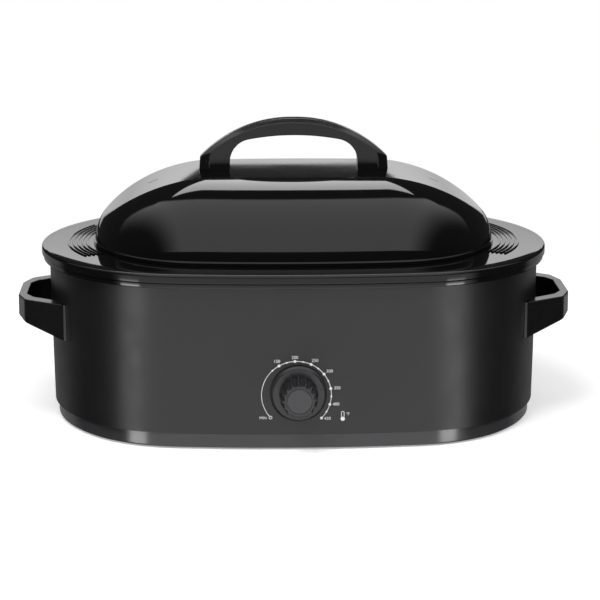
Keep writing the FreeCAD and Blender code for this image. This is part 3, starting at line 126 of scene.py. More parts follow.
class RoasterHousing(bpy.types.PropertyGroup):
    sheet: length("Sheet", 1, "Thickness of the wrap's sheet")
    inset: length("Inset", 15.5, "Rim to the foot of the wrap")
    taper: turn("Taper", 2.4, "Slope of the wrap, wider at the top")
    flare: length("Flare", 3.4, "How much further the wrap's foot stands out at its ends than in front")
    base_top: length("Base top", 17.5, "Table to the foot of the wrap")
    base_step: length("Base step", 0.5, "How far the base stands back from the wrap")
    base_bottom: length("Base bottom", 2, "Table to the base's lower edge")
    base_round: length("Base round", 2.5, "Radius of the base's lower edge")
    base_floor: length("Base floor", 5, "Table to the base's floor")
    base_border: length("Base border", 3.5, "Width of the base's lower edge")
    vent_length: length("Vent length", 34, "Length of a vent in the base")
    vent_width: length("Vent width", 4, "Width of a vent in the base")
    vent_pitch: length("Vent pitch", 16, "From one vent to the next")
    vent_count: number("Vents", 7, "Vents in each of the two rows")
    vent_row: length("Vent row", 78, "Middle to a row of vents")
    well_wall: length("Well sheet", 0.8, "Thickness of the liner's sheet")
    well_gap: length("Well gap", 8, "Pan to liner")
    well_bottom: length("Well bottom", 28, "Table to the liner's bottom")
    well_corner: length("Well corner", 18, "Radius round the liner's floor")
    lip_inset: length("Lip inset", 3.5, "Rim to the liner's turned-down lip")
    lip_height: length("Lip height", 15, "Height of the lip")
    lip_round: length("Lip round", 2, "Radius where the lip turns down")
    hem_height: length("Hem height", 5.5, "Height of the rolled hem under the pan's skirt")
    hem_stand: length("Hem stand", 1.5, "How far the hem stands out from the lip")


class RoasterSideHandle(bpy.types.PropertyGroup):
    top: length("Top", 138, "Table to the top of a handle")
    reach: length("Reach", 305, "Middle of the rim to the handle's bar")
    bar: length("Bar", 9, "Thickness of the upright bar")
    end_height: length("End height", 23, "Height of the bar")
    root_height: length("Root height", 40, "Height of the arms at the wrap")
    half_bar: length("Half bar", 33, "Half the straight run of the bar")
    half_knee: length("Half knee", 62, "Middle to the knee")
    knee_reach: length("Knee reach", 296, "Middle of the rim to the knee")
    half_root: length("Half root", 94, "Middle to the outside of an arm at its root")
    arm: length("Arm", 15, "Width of an arm at the knee")
    arm_run: length("Arm run", 44, "Knee to root")
    root_arm: length("Root arm", 19.5, "Width of an arm at its root")
    knee_round: length("Knee round", 16, "Radius in plan of the handle's knees")
    edge_round: length("Edge round", 2.2, "Radius of the handle's edges")


class RoasterLid(bpy.types.PropertyGroup):
    overhang: length("Overhang", 11, "How far the lid reaches over the flange")
    wall: length("Sheet", 1, "Thickness of the lid's sheet")
    dome_run: length("Dome run", 121.4, "Half width of the quarter ellipse that the lid's sides follow")
    dome_rise: length("Dome rise", 83.5, "Height of that ellipse")
    dome_top: turn("Dome top", 76.5, "How far round that ellipse the sides could reach")
    top: length("Top", 272.49, "Table to the flat top")
    flat: length("Flat", 85, "Middle to where the top starts to fall")
    fall_radius: length("Fall radius", 186, "Radius of the falling ends of the top")
    crease: length("Crease", 3.5, "Reach of the rounding between sides and top")
    bead_stand: length("Bead stand", 1.5, "How far the bead stands out from the lid's side")
    bead_height: length("Bead height", 4, "Height of the bead")
    slot_across: length("Slot across", 156, "Middle to a steam slot")
    slot_length: length("Slot length", 11, "Length of a steam slot")
    slot_width: length("Slot width", 2.6, "Width of a steam slot")


class RoasterArch(bpy.types.PropertyGroup):
    """The lid's handle."""
    foot: length("Foot", 104.5, "Middle to the outside of a leg at its foot")
    shoulder: length("Shoulder", 103.6, "Middle to the shoulder")
    crown: length("Crown", 3, "Middle to where the top starts to fall")
    crown_round: length("Crown round", 140, "Radius of the arch on each side of its crown")
    height: length("Height", 56.5, "Lid to the handle's top")
    half_opening: length("Half opening", 70.5, "Half the width of the finger opening")
    opening_height: length("Opening height", 38.5, "Lid to the opening's ceiling")
    opening_bow: length("Opening bow", 270, "Radius of the opening's ceiling")
    opening_round: length("Opening round", 25, "Radius of the opening's corners")
    depth: length("Depth", 29, "Front to back")
    bevel: length("Bevel depth", 8, "Depth of the bevels, front to back")
    side_bevel: length("Side bevel", 11, "Width of the bevel along a leg")
    top_bevel: length("Top bevel", 3.9, "Height of the bevel along the crown")
    edge_round: length("Edge round", 0.8, "Radius of the small edges")


class RoasterKnob(bpy.types.PropertyGroup):
    skirt_radius: length("Skirt radius", 30, "Radius of the skirt")
    skirt_edge: length("Skirt edge", 2.4, "Height of the skirt's upright edge")
    skirt_height: length("Skirt height", 6, "Back of the skirt to its face")
    skirt_slope: length("Skirt slope", 2.4, "Width of the slope round the skirt")
    grip_radius: length("Grip radius", 20.8, "Radius of the grip at the skirt")
    face_radius: length("Face radius", 18.6, "Radius of the grip at its face")
    height: length("Height", 35.2, "Back of the skirt to the grip's face")
    flutes: number("Flutes", 16, "Flutes round the grip")
    flute_radius: length("Flute radius", 3, "Radius of a flute")
    flute_depth: length("Flute depth", 2.6, "Depth of a flute")
    face_round: length("Face round", 1, "Radius round the face")
    rest_turn: turn("Rest turn", 76.5, "Where the mark on the skirt points, clockwise from the top")
    cap_radius: length("Cap radius", 13, "Radius of the cap")
    cap_stand: length("Cap stand", 0.8, "How far the cap stands out of the face")
    cap_depth: length("Cap depth", 1, "How far the cap sits in the face")


class RoasterDial(bpy.types.PropertyGroup):
    """The scale printed round the knob."""
    across: length("Across", -2.2, "Middle of the rim to the scale's centre")
    height: length("Height", 60.4, "Table to the scale's centre")
    radius: length("Radius", 36.8, "Radius of the scale's line")
    line: length("Line", 0.65, "Width of the scale's line")
    start: turn("Start", -132, "Where the line starts, clockwise from the top")
    first_mark: turn("First mark", -43.5, "Where the marks start, clockwise from the top")
    mark_step: turn("Mark step", 13.65, "From one mark to the next")
    marks: number("Marks", 14, "Marks along the line")
    large_mark: length("Large mark", 1.55, "Radius of a numbered mark")
    small_mark: length("Small mark", 0.95, "Radius of a mark between two numbers")
    figure: length("Figure", 3.3, "Height of the figures")
    first_figure: number("First figure", 150, "The lowest temperature")
    figure_step: number("Figure step", 50, "From one figure to the next")
    ink: length("Ink", 0.06, "Thickness of the printed ink")


class RoasterRack(bpy.types.PropertyGroup):
    inset: length("Inset", 31, "Mouth to the outside of the rack's hoop")
    wire: length("Wire", 2.4, "Radius of the hoop's wire")
    cross_wire: length("Cross wire", 1.6, "Radius of the cross wires")
    stand: length("Stand", 14, "Pan's floor to the hoop")
    weld: length("Weld", 0.4, "How far the wires sink into each other")
    pitch: length("Pitch", 30, "From one cross wire to the next")
    count: number("Cross wires", 9, "Number of cross wires")
    grip_half: length("Grip half width", 48, "Half the width of a grip")
    grip_rise: length("Grip rise", 58, "Hoop to the top of a grip")
    bend: length("Bend", 9, "Radius of the grips' bends")


class RoasterColours(bpy.types.PropertyGroup):
    enamel: colour("Enamel", "0A0A0B", "Fired enamel of the lid and the pan")
    wrap: colour("Wrap", "121213", "Baked paint of the outer body")
    base: colour("Base", "333335", "Baked paint of the base")
    phenolic: colour("Handles", "101011", "Moulded phenolic of the handles")
    knob: colour("Knob", "28282A", "Moulded plastic of the knob")
    cap: colour("Cap", "3A3A3C", "Moulded plastic of the knob's cap")
    ink: colour("Ink", "E9E9E6", "Printed scale")


SETTINGS = {"outline": RoasterOutline, "pan": RoasterPan, "housing": RoasterHousing,
            "handle": RoasterSideHandle, "lid": RoasterLid, "arch": RoasterArch, "knob": RoasterKnob,
            "dial": RoasterDial, "rack": RoasterRack, "colours": RoasterColours}


def sizes(key):
    """One group of the scene's settings."""
    return getattr(bpy.context.scene, "roaster_" + key)


# ---------------------------------------------------------------- nodes

def add(tree, kind, inputs=None, **settings):
    """Add a node with its settings, and give each named input a value or a link from another node."""
    made = tree.nodes.new(kind)
    for key, setting in settings.items():
        setattr(made, key, setting)
    for key, given in (inputs or {}).items():
        if isinstance(given, bpy.types.NodeSocket):
            tree.links.new(given, made.inputs[key])
        else:
            made.inputs[key].default_value = given
    return made


def growing_tree(name, inputs):
    """An empty Geometry Nodes tree with named inputs, each a pair of its kind and default."""
    tree = bpy.data.node_groups.new(name, "GeometryNodeTree")
    tree.interface.new_socket("Geometry", in_out="INPUT", socket_type="NodeSocketGeometry")
    for key, (kind, default) in inputs.items():
        socket = tree.interface.new_socket(key, in_out="INPUT", socket_type="NodeSocket" + kind)
        socket.default_value = default
    tree.interface.new_socket("Material", in_out="INPUT", socket_type="NodeSocketMaterial")
    tree.interface.new_socket("Geometry", in_out="OUTPUT", socket_type="NodeSocketGeometry")
    return tree, tree.nodes.new("NodeGroupInput").outputs


def close_tree(tree, given, geometry):
    """End a tree in Realize Instances and Set Material."""
    real = add(tree, "GeometryNodeRealizeInstances", {"Geometry": geometry})
    dressed = add(tree, "GeometryNodeSetMaterial", {"Geometry": real.outputs[0],
                                                    "Material": given["Material"]})
    add(tree, "NodeGroupOutput", {0: dressed.outputs[0]})
    return tree


# ---------------------------------------------------------------- meshes

def linked(name, data):
    """A new object in the scene."""
    made = bpy.data.objects.new(name, data)
    bpy.context.scene.collection.objects.link(made)
    return made


def plain(made):
    """Turn an object with modifiers, or a text, into a plain mesh object."""
    bpy.context.view_layer.update()
    graph = bpy.context.evaluated_depsgraph_get()
    mesh = bpy.data.meshes.new_from_object(made.evaluated_get(graph), depsgraph=graph)
    if made.type == "MESH":
        made.modifiers.clear()
        made.data = mesh
        return made
    name = made.name
    bpy.data.objects.remove(made)
    return linked(name, mesh)


def grown(name, tree, finish, inputs, seed=None):
    """A plain mesh object grown by a Geometry Nodes tree from its named inputs."""
    made = linked(name, seed or bpy.data.meshes.new(name))
    modifier = made.modifiers.new("Growth", "NODES")
    modifier.node_group = tree
    for socket in tree.interface.items_tree:
        if socket.in_out == "INPUT" and socket.name in inputs:
            modifier[socket.identifier] = inputs[socket.name]
        if socket.in_out == "INPUT" and socket.name == "Material":
            modifier[socket.identifier] = finish
    return plain(made)


def smooth(mesh, crease=CREASE):
    """Join doubled corners, face everything outwards and keep only the sharp edges sharp."""
    work = bmesh.new()
    work.from_mesh(mesh)
    bmesh.ops.remove_doubles(work, verts=work.verts, dist=SAME_SPOT)
    bmesh.ops.recalc_face_normals(work, faces=work.faces)
    work.to_mesh(mesh)
    work.free()
    mesh.shade_smooth()
    mesh.set_sharp_from_angle(angle=math.radians(crease))
    return mesh


def solid(name, points, faces, crease=CREASE):
    """An object with a closed mesh."""
    mesh = bpy.data.meshes.new(name)
    mesh.from_pydata([tuple(map(float, point)) for point in points], [], faces)
    return linked(name, smooth(mesh, crease))


def skin(name, loops, crease=CREASE, closed=False):
    """A closed solid through loops of equally many points, capped at a pole or joined end to end."""
    loops = np.asarray(loops, float)
    count, around = loops.shape[:2]
    points = list(loops.reshape(-1, 3))
    faces = []
    for step in range(count if closed else count - 1):
        low, high = step * around, (step + 1) % count * around
        for at in range(around):
            after = (at + 1) % around
            faces.append((low + at, low + after, high + after, high + at))
    if not closed:
        for end in (0, count - 1):
            points.append(loops[end].mean(0))
            pole, low = len(points) - 1, end * around
            faces += [(low + at, low + (at + 1) % around, pole) for at in range(around)]
    return solid(name, points, faces, crease)


def bar(name, loops, crease=CREASE):
    """A closed solid through loops of equally many points, with one flat face at each end."""
    around = len(loops[0])
    faces = [(at * around + edge, at * around + (edge + 1) % around,
              (at + 1) * around + (edge + 1) % around, (at + 1) * around + edge)
             for at in range(len(loops) - 1) for edge in range(around)]
    last = around * (len(loops) - 1)
    faces += [tuple(range(around))[::-1], tuple(range(last, last + around))]
    return solid(name, [spot for loop in loops for spot in loop], faces, crease)


def soften(made, width, segments=3, angle=30):
    """Round an object's sharp edges and weight its normals by area."""
    bevel = made.modifiers.new("Rounding", "BEVEL")
    bevel.width, bevel.segments, bevel.limit_method = width, segments, "ANGLE"
    bevel.angle_limit = math.radians(angle)
    bevel.use_clamp_overlap = True
    weigh(made)
    return plain(made)


def weigh(made):
    """Let an object's large faces lead its shading."""
    weight = made.modifiers.new("Weight", "WEIGHTED_NORMAL")
    weight.keep_sharp = True
    return made


def carved(made, cutter):
    """Cut one solid out of another and remove the cutter."""
    cut = made.modifiers.new("Cut", "BOOLEAN")
    cut.operation, cut.solver, cut.object = "DIFFERENCE", "EXACT", cutter
    made = plain(made)
    bpy.data.objects.remove(cutter)
    made.data.shade_smooth()
    made.data.set_sharp_from_angle(angle=math.radians(CREASE))
    return made


# A corner nearer to straight than this angle isn't rounded, and an arc takes at most this share of an edge.
NEARLY_STRAIGHT = 0.01
ARC_SHARE = 0.499


def rounded(corners, steps=6):
    """Points of a path whose corners (across, up, radius) are rounded by arcs."""
    points = [np.array(corner[:2], float) for corner in corners]
    radii = [corner[2] if len(corner) > 2 else 0 for corner in corners]
    path = [points[0]]
    for before, corner, after, radius in zip(points, points[1:], points[2:], radii[1:]):
        into, out = before - corner, after - corner
        into_long, out_long = np.linalg.norm(into), np.linalg.norm(out)
        into, out = into / into_long, out / out_long
        half = math.acos(np.clip(np.dot(into, out), -1, 1)) / 2
        if radius <= 0 or half > math.pi / 2 - NEARLY_STRAIGHT:
            path.append(corner)
            continue
        run = min(radius / math.tan(half), ARC_SHARE * into_long, ARC_SHARE * out_long)
        radius = run * math.tan(half)
        middle = corner + (into + out) / np.linalg.norm(into + out) * (radius / math.sin(half))
        first, last = corner + into * run - middle, corner + out * run - middle
        sweep = math.pi - 2 * half
        for step in range(steps + 1):
            share = step / steps
            path.append(middle + (math.sin((1 - share) * sweep) * first + math.sin(share * sweep) * last)
                        / math.sin(sweep))
    path.append(points[-1])
    return path


def install(made, body, slot, *nodes, finish=None):
    """Finish a piece and hang it on its body in place of its solids."""
    if finish is not None:
        made.data.materials.clear()
        made.data.materials.append(finish)
    if nodes:
        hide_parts(*nodes)
    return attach(made, body)


# ---------------------------------------------------------------- outlines

# Steps along an end, a corner and a bow of an outline.
END_STEPS, CORNER_STEPS, BOW_STEPS = 36, 32, 64


def stations(family):
    """Stations round the rim or the mouth: their arc's centre x and y, its radius, and direction x and y."""
    size = sizes("outline")
    keys = ("half_width", "half_depth", "bow", "corner", "end")
    half_width, half_depth, bow, corner, end = (getattr(size, family + "_" + key) for key in keys)
    end_x, bow_y = half_width - end, half_depth - bow
    span = math.hypot(end_x, bow_y)
    along = ((bow - corner) ** 2 - (end - corner) ** 2 + span ** 2) / (2 * span)
    beside = math.sqrt((bow - corner) ** 2 - along ** 2)
    corner_x = (along * end_x - beside * bow_y) / span
    corner_y = bow_y - (beside * end_x + along * bow_y) / span
    low, high = math.atan2(corner_y, corner_x - end_x), math.atan2(corner_y - bow_y, corner_x)
    back_low, back_high = math.pi - low, math.pi - high
    arcs = ((end_x, 0, end, -low, low, END_STEPS), (corner_x, corner_y, corner, low, high, CORNER_STEPS),
            (0, bow_y, bow, high, back_high, BOW_STEPS),
            (-corner_x, corner_y, corner, back_high, back_low, CORNER_STEPS))
    rows = []
    for side, half_turn in ((1, 0), (-1, math.pi)):
        for centre_x, centre_y, radius, start, stop, steps in arcs:
            for step in range(steps):
                angle = half_turn + start + (stop - start) * step / steps
                rows.append((side * centre_x, side * centre_y, radius, math.cos(angle), math.sin(angle)))
    return np.array(rows)


def ring(family, inset, height):
    """The outline at an inset and a height, about the cooker's middle."""
    inset = np.broadcast_to(inset, len(family))
    height = np.broadcast_to(height, len(family))
    reach = family[:, 2] - inset
    return np.stack([family[:, 0] + reach * family[:, 3],
                     family[:, 1] + reach * family[:, 4] + MIDDLE, height], axis=1)


def rings(family, path):
    """The outline at each inset and height of a path."""
    return [ring(family, inset, height) for inset, height in path]


# The wrap's foot stands out in full where the outline faces at least this far sideways.
FULLY_SIDEWAYS = 0.6


def wrap_inset(height, sideways=0.0):
    """How far the wrap's outside stands in from the rim at a height, where it faces so far sideways."""
    size = sizes("housing")
    rise = height - size.base_top
    left = 1 - rise / (sizes("outline").rim_top - size.base_top)
    share = np.clip(np.abs(sideways) / FULLY_SIDEWAYS, 0, 1)
    return size.inset - rise * math.tan(size.taper) - size.flare * left * share * share * (3 - 2 * share)


def wrap_front(across, height):
    """Where the wrap's front stands at a place across and up, along Y."""
    size = sizes("outline")
    radius = size.rim_bow - wrap_inset(height)
    return MIDDLE + size.rim_bow - size.rim_half_depth - math.sqrt(radius ** 2 - across ** 2)


def wrap_end(along, height):
    """How far out the wrap's end stands at a place along and up, from the middle."""
    size = sizes("outline")
    radius = size.rim_end - wrap_inset(height, 1.0)
    return size.rim_half_width - size.rim_end + math.sqrt(radius ** 2 - along ** 2)


# ---------------------------------------------------------------- pan and housing

# On the flange, the rings that follow the rim end this far in from it, and those that follow the mouth
# start this far out from it.
FROM_RIM, FROM_MOUTH = 0.030, 0.024
# How flat a rib is, as a share of half a circle; the share of half its length up to which it keeps its full
# size; and the size that is left at its tips.
RIB_SQUASH = 0.7
RIB_FULL, RIB_TIP = 0.92, 0.15


def make_pan():
    """The tub with its wide flange, as one closed sheet."""
    size, rim, mouth = sizes("pan"), stations("rim"), stations("mouth")
    top, wall, lean = sizes("outline").rim_top, size.wall, size.depth * math.tan(size.draft)
    floor, floor_run = top - size.depth, 0.08
    outer_edge, inner_edge, inner_bend = 0.0005, 0.0003, 0.0015
    tub_in = rounded(((lean + floor_run, floor), (lean, floor, size.corner), (0, top, size.mouth_round),
                      (-FROM_MOUTH, top)), steps=8)
    run, fall = size.edge_run, size.edge_fall
    crown = [(FROM_RIM, top)] + [(run * (1 - share), top - fall * share ** 2) for share in (0, 0.2, 0.4, 0.6)]
    edge = rounded(crown[-2:] + [(0, top - fall, size.rim_round), (0, top - size.skirt, outer_edge),
                                 (wall, top - size.skirt, inner_edge), (wall, top - wall - fall, inner_bend),
                                 (run, top - wall), (FROM_RIM, top - wall)])
    tub_out = rounded(((-FROM_MOUTH, top - wall), (-wall, top - wall, size.mouth_round + wall),
                       (lean - wall, floor - wall, size.corner + wall),
                       (lean + floor_run, floor - wall)), steps=8)
    loops = rings(mouth, tub_in) + rings(rim, crown[:-2] + edge) + rings(mouth, tub_out)
    return skin("roasting_pan_sheet", loops)


def rib_tree():
    """Arcs about one centre, swept to half-round ribs that fade at their ends."""
    tree, given = growing_tree("Flange Ribs", {
        "First": ("Float", 0.18), "Pitch": ("Float", 0.005), "Count": ("Int", 5), "Sweep": ("Float", 1.0),
        "Half Width": ("Float", 0.0015), "Squash": ("Float", RIB_SQUASH)})
    points = add(tree, "GeometryNodePoints", {"Count": given["Count"]})
    index = add(tree, "GeometryNodeInputIndex")
    radius = add(tree, "ShaderNodeMath", {0: index.outputs[0], 1: given["Pitch"], 2: given["First"]},
                 operation="MULTIPLY_ADD")
    start = add(tree, "ShaderNodeMath", {0: given["Sweep"], 1: -0.5}, operation="MULTIPLY")
    arc = add(tree, "GeometryNodeCurveArc", {"Resolution": 64, "Radius": 1.0, "Start Angle": start.outputs[0],
                                             "Sweep Angle": given["Sweep"]})
    placed = add(tree, "GeometryNodeInstanceOnPoints", {
        "Points": points.outputs[0], "Instance": arc.outputs[0], "Scale": radius.outputs[0]})
    real = add(tree, "GeometryNodeRealizeInstances", {"Geometry": placed.outputs[0]})
    along = add(tree, "GeometryNodeSplineParameter")
    centred = add(tree, "ShaderNodeMath", {0: along.outputs["Factor"], 1: 0.5}, operation="SUBTRACT")
    apart = add(tree, "ShaderNodeMath", {0: centred.outputs[0]}, operation="ABSOLUTE")
    fade = add(tree, "ShaderNodeMapRange", {
        "Value": apart.outputs[0], "From Min": 0.5, "From Max": RIB_FULL / 2, "To Min": RIB_TIP,
        "To Max": 1.0}, interpolation_type="SMOOTHSTEP")
    faded = add(tree, "GeometryNodeSetCurveRadius", {"Curve": real.outputs[0], "Radius": fade.outputs[0]})
    section = add(tree, "GeometryNodeCurvePrimitiveCircle", {"Resolution": 12, "Radius": given["Half Width"]})
    oval = add(tree, "ShaderNodeCombineXYZ", {0: 1.0, 1: given["Squash"], 2: 1.0})
    squashed = add(tree, "GeometryNodeTransform", {"Geometry": section.outputs[0], "Scale": oval.outputs[0]})
    swept = add(tree, "GeometryNodeCurveToMesh", {
        "Curve": faded.outputs[0], "Profile Curve": squashed.outputs[0], "Fill Caps": True})
    return close_tree(tree, given, swept.outputs[0])


class ROASTER_OT_pan(bpy.types.Operator):
    """Make the roasting pan and the ribs at the ends of its flange"""
    bl_idname = "roaster.pan"
    bl_label = "Roasting Pan"

    def execute(self, context):
        size, outline, enamel = sizes("pan"), sizes("outline"), finishes()["enamel"]
        install(weigh(make_pan()), "pan", "black_enamel", "roasting_pan", finish=enamel)
        centre_x = outline.rim_half_width - outline.rim_end
        level = outline.rim_top + size.rib_height - size.rib_width / 2 * RIB_SQUASH
        tree = rib_tree()
        for side, name in ((1, "flange_ribs_right"), (-1, "flange_ribs_left")):
            ribs = grown(name, tree, enamel, {
                "First": size.rib_first - centre_x, "Pitch": size.rib_pitch, "Count": size.rib_count,
                "Sweep": size.rib_sweep, "Half Width": size.rib_width / 2, "Squash": RIB_SQUASH})
            spin = Matrix.Rotation(math.pi if side < 0 else 0, 4, "Z")
            ribs.data.transform(Matrix.Translation((side * centre_x, MIDDLE, level)) @ spin)
            smooth(ribs.data, crease=60)
            install(ribs, "pan", "black_enamel")
        return {"FINISHED"}


def make_well():
    """The liner: a tub, a flange under the pan's and a lip with a rolled hem."""
    size, pan, rim, mouth = sizes("housing"), sizes("pan"), stations("rim"), stations("mouth")
    seat, wall, gap = sizes("outline").rim_top - pan.wall, size.well_wall, pan.wall + size.well_gap
    floor_in, mouth_round, under_mouth = 0.06 - gap, 0.002, 0.001
    tub_in = rounded(((floor_in, size.well_bottom + wall), (-gap, size.well_bottom + wall, size.well_corner),
                      (-gap, seat, mouth_round), (-FROM_MOUTH, seat)), steps=8)
    lip, foot = size.lip_inset, seat - size.lip_height
    out, hem_top = lip - size.hem_stand, foot + size.hem_height
    over_hem, hem_upper, hem_lower, inner_edge, inner_bend = 0.0006, 0.0022, 0.0026, 0.0004, 0.0012
    edge = rounded(((FROM_RIM, seat), (lip, seat, size.lip_round), (lip, hem_top, over_hem),
                    (out, hem_top, hem_upper), (out, foot, hem_lower), (lip + wall, foot, inner_edge),
                    (lip + wall, seat - wall, inner_bend), (FROM_RIM, seat - wall)))
    tub_out = rounded(((-FROM_MOUTH, seat - wall), (-gap - wall, seat - wall, under_mouth),
                       (-gap - wall, size.well_bottom, size.well_corner + wall),
                       (floor_in, size.well_bottom)), steps=8)
    return skin("liner_sheet", rings(mouth, tub_in) + rings(rim, edge) + rings(mouth, tub_out))


def paint_hem(well, finish):
    """Give the liner's lip its paint, from its foot to just behind the lower edge of the pan's skirt."""
    size, rim_top = sizes("housing"), sizes("outline").rim_top
    behind_skirt, under_foot, within = 0.002, 0.001, 0.006
    foot = rim_top - sizes("pan").wall - size.lip_height
    lowest, highest = foot - under_foot, rim_top - sizes("pan").skirt + behind_skirt
    outside = ring(stations("rim"), size.lip_inset + within, foot)
    inner = min(math.hypot(x, y - MIDDLE) for x, y, z in outside)
    well.data.materials.append(finish)
    for face in well.data.polygons:
        middle = face.center
        if lowest < middle.z < highest and math.hypot(middle.x, middle.y - MIDDLE) > inner:
            face.material_index = 1


def make_wrap():
    """The painted outer sheet, wider at the top, with a foot that stands out a little at its ends."""
    size, rim = sizes("housing"), stations("rim")
    foot, sideways, foot_round = size.base_top, rim[:, 3], 0.0006
    top = sizes("outline").rim_top - sizes("pan").wall - size.well_wall
    tall, wall_steps = 0.02, 8
    section = rounded(((size.sheet / 2, foot), (0, foot, foot_round), (0, top), (size.sheet, top),
                       (size.sheet, foot), (size.sheet / 2, foot)))[:-1]
    loops = []
    for (inset, height), (to_inset, to_height) in zip(section, section[1:] + section[:1]):
        steps = wall_steps if abs(to_height - height) > tall else 1
        for step in range(steps):
            share = step / steps
            level = height + (to_height - height) * share
            loops.append(ring(rim, wrap_inset(level, sideways) + inset + (to_inset - inset) * share, level))
    return skin("outer_wrap", loops, closed=True)


def slot_tree():
    """Two rows of upright slot-shaped blocks, to cut vents with."""
    tree, given = growing_tree("Vent Cutters", {
        "Count": ("Int", 7), "Pitch": ("Float", 0.016), "Row": ("Float", 0.078), "Length": ("Float", 0.034),
        "Width": ("Float", 0.004), "Height": ("Float", 0.004)})
    columns = add(tree, "ShaderNodeMath", {0: given["Count"], 1: 1.0}, operation="SUBTRACT")
    across = add(tree, "ShaderNodeMath", {0: columns.outputs[0], 1: given["Pitch"]}, operation="MULTIPLY")
    along = add(tree, "ShaderNodeMath", {0: given["Row"], 1: 2.0}, operation="MULTIPLY")
    grid = add(tree, "GeometryNodeMeshGrid", {"Size X": across.outputs[0], "Size Y": along.outputs[0],
                                              "Vertices X": given["Count"], "Vertices Y": 2})
    size = add(tree, "ShaderNodeCombineXYZ", {0: given["Width"], 1: given["Length"], 2: given["Height"]})
    block = add(tree, "GeometryNodeMeshCube", {"Size": size.outputs[0]})
    placed = add(tree, "GeometryNodeInstanceOnPoints", {"Points": grid.outputs[0],
                                                        "Instance": block.outputs[0]})
    return close_tree(tree, given, placed.outputs[0])


def make_base():
    """The pressed base with a raised floor and two rows of vents."""
    size, rim = sizes("housing"), stations("rim")
    inset, floor = size.inset + size.base_step, size.base_floor
    border, wall, floor_sheet, floor_run = inset + size.base_border, 0.0012, 0.001, 0.12
    recess_round, top_edge, inner_bend, cutter_height = 0.0006, 0.0003, 0.0008, 0.006
    section = rounded(((floor_run, floor), (border, floor, recess_round),
                       (border, size.base_bottom, recess_round), (inset, size.base_bottom, size.base_round),
                       (inset, size.base_top, top_edge), (inset + wall, size.base_top),
                       (inset + wall, floor + floor_sheet, inner_bend), (floor_run, floor + floor_sheet)))
    base = skin("base_tray", rings(rim, section))
    cutter = grown("vent_cutter", slot_tree(), finishes()["base"], {
        "Count": size.vent_count, "Pitch": size.vent_pitch, "Row": size.vent_row, "Length": size.vent_length,
        "Width": size.vent_width, "Height": cutter_height})
    cutter.data.transform(Matrix.Translation((0, MIDDLE, floor)))
    return carved(base, cutter)


class ROASTER_OT_housing(bpy.types.Operator):
    """Make the liner, the painted wrap and the base"""
    bl_idname = "roaster.housing"
    bl_label = "Housing"

    def execute(self, context):
        look = finishes()
        well = install(weigh(make_well()), "housing", "liner_steel", "inner_well", finish=look["liner"])
        paint_hem(well, look["enamel"])
        install(weigh(make_wrap()), "housing", "charcoal_paint", "outer_body", finish=look["wrap"])
        install(weigh(make_base()), "housing", "base_paint", "base_pan", finish=look["base"])
        return {"FINISHED"}


# ---------------------------------------------------------------- side handles

def make_side_handle(side):
    """A hollow loop whose arms deepen towards the wrap; side is 1 on the right and -1 on the left."""
    size = sizes("handle")
    root, foot = size.knee_reach - size.arm_run, size.top - size.root_height
    thick, inner_round, sunk = size.bar, size.knee_round / 2, 0.0004

    def edge(*half):
        """An edge of the loop in plan: the corners given, and the same corners mirrored."""
        return rounded(half + tuple((spot[0], -spot[1]) + spot[2:] for spot in half[::-1]))

    outside = edge((root, -size.half_root), (size.knee_reach, -size.half_knee, size.knee_round),
                   (size.reach, -size.half_bar, size.knee_round))
    inside = edge((root, size.root_arm - size.half_root),
                  (size.knee_reach - thick, size.arm - size.half_knee, inner_round),
                  (size.reach - thick, thick / 2 - size.half_bar, inner_round))

    def underside(reach):
        share = np.clip((reach - root) / (size.reach - root), 0, 1)
        return foot + share * (size.root_height - size.end_height)

    def rooted(loop):
        """An arm's end, a little way into the wrap."""
        levels = (size.top, size.top, foot, foot)
        return [(wrap_end(y, level) - sunk, y, level) for (x, y, z), level in zip(loop, levels)]

    loops = [[(out_x, out_y, size.top), (in_x, in_y, size.top), (in_x, in_y, underside(in_x)),
              (out_x, out_y, underside(out_x))] for (out_x, out_y), (in_x, in_y) in zip(outside, inside)]
    loops = [rooted(loops[0])] + loops + [rooted(loops[-1])]
    name = "side_handle_%s_loop" % ("right" if side > 0 else "left")
    made = bar(name, [[(side * x, y + MIDDLE, z) for x, y, z in loop] for loop in loops], crease=30)
    return soften(made, size.edge_round, segments=4, angle=40)


class ROASTER_OT_side_handles(bpy.types.Operator):
    """Make the two side handles"""
    bl_idname = "roaster.side_handles"
    bl_label = "Side Handles"

    def execute(self, context):
        for side, node in ((1, "side_handle_right"), (-1, "side_handle_left")):
            install(make_side_handle(side), "housing", "black_phenolic", node, finish=finishes()["phenolic"])
        return {"FINISHED"}


# ---------------------------------------------------------------- lid

def vault_height(across, wall=0.0):
    """The lid's top: flat in the middle, falling in an arc to both ends."""
    size = sizes("lid")
    beyond = np.maximum(np.abs(across) - size.flat, 0)
    return size.top - size.fall_radius + np.sqrt((size.fall_radius - wall) ** 2 - beyond ** 2)


# Steps of the lid's rings up its side, round its crease and in over its top, and the halvings that find where
# side and top meet.
SIDE_STEPS, CREASE_STEPS, TOP_STEPS, HALVINGS = 36, 6, 30, 40
# How far round the ellipse the rings start inside and outside, in degrees, so that the bead has room.
INNER_START, OUTER_START = 2, 4.5


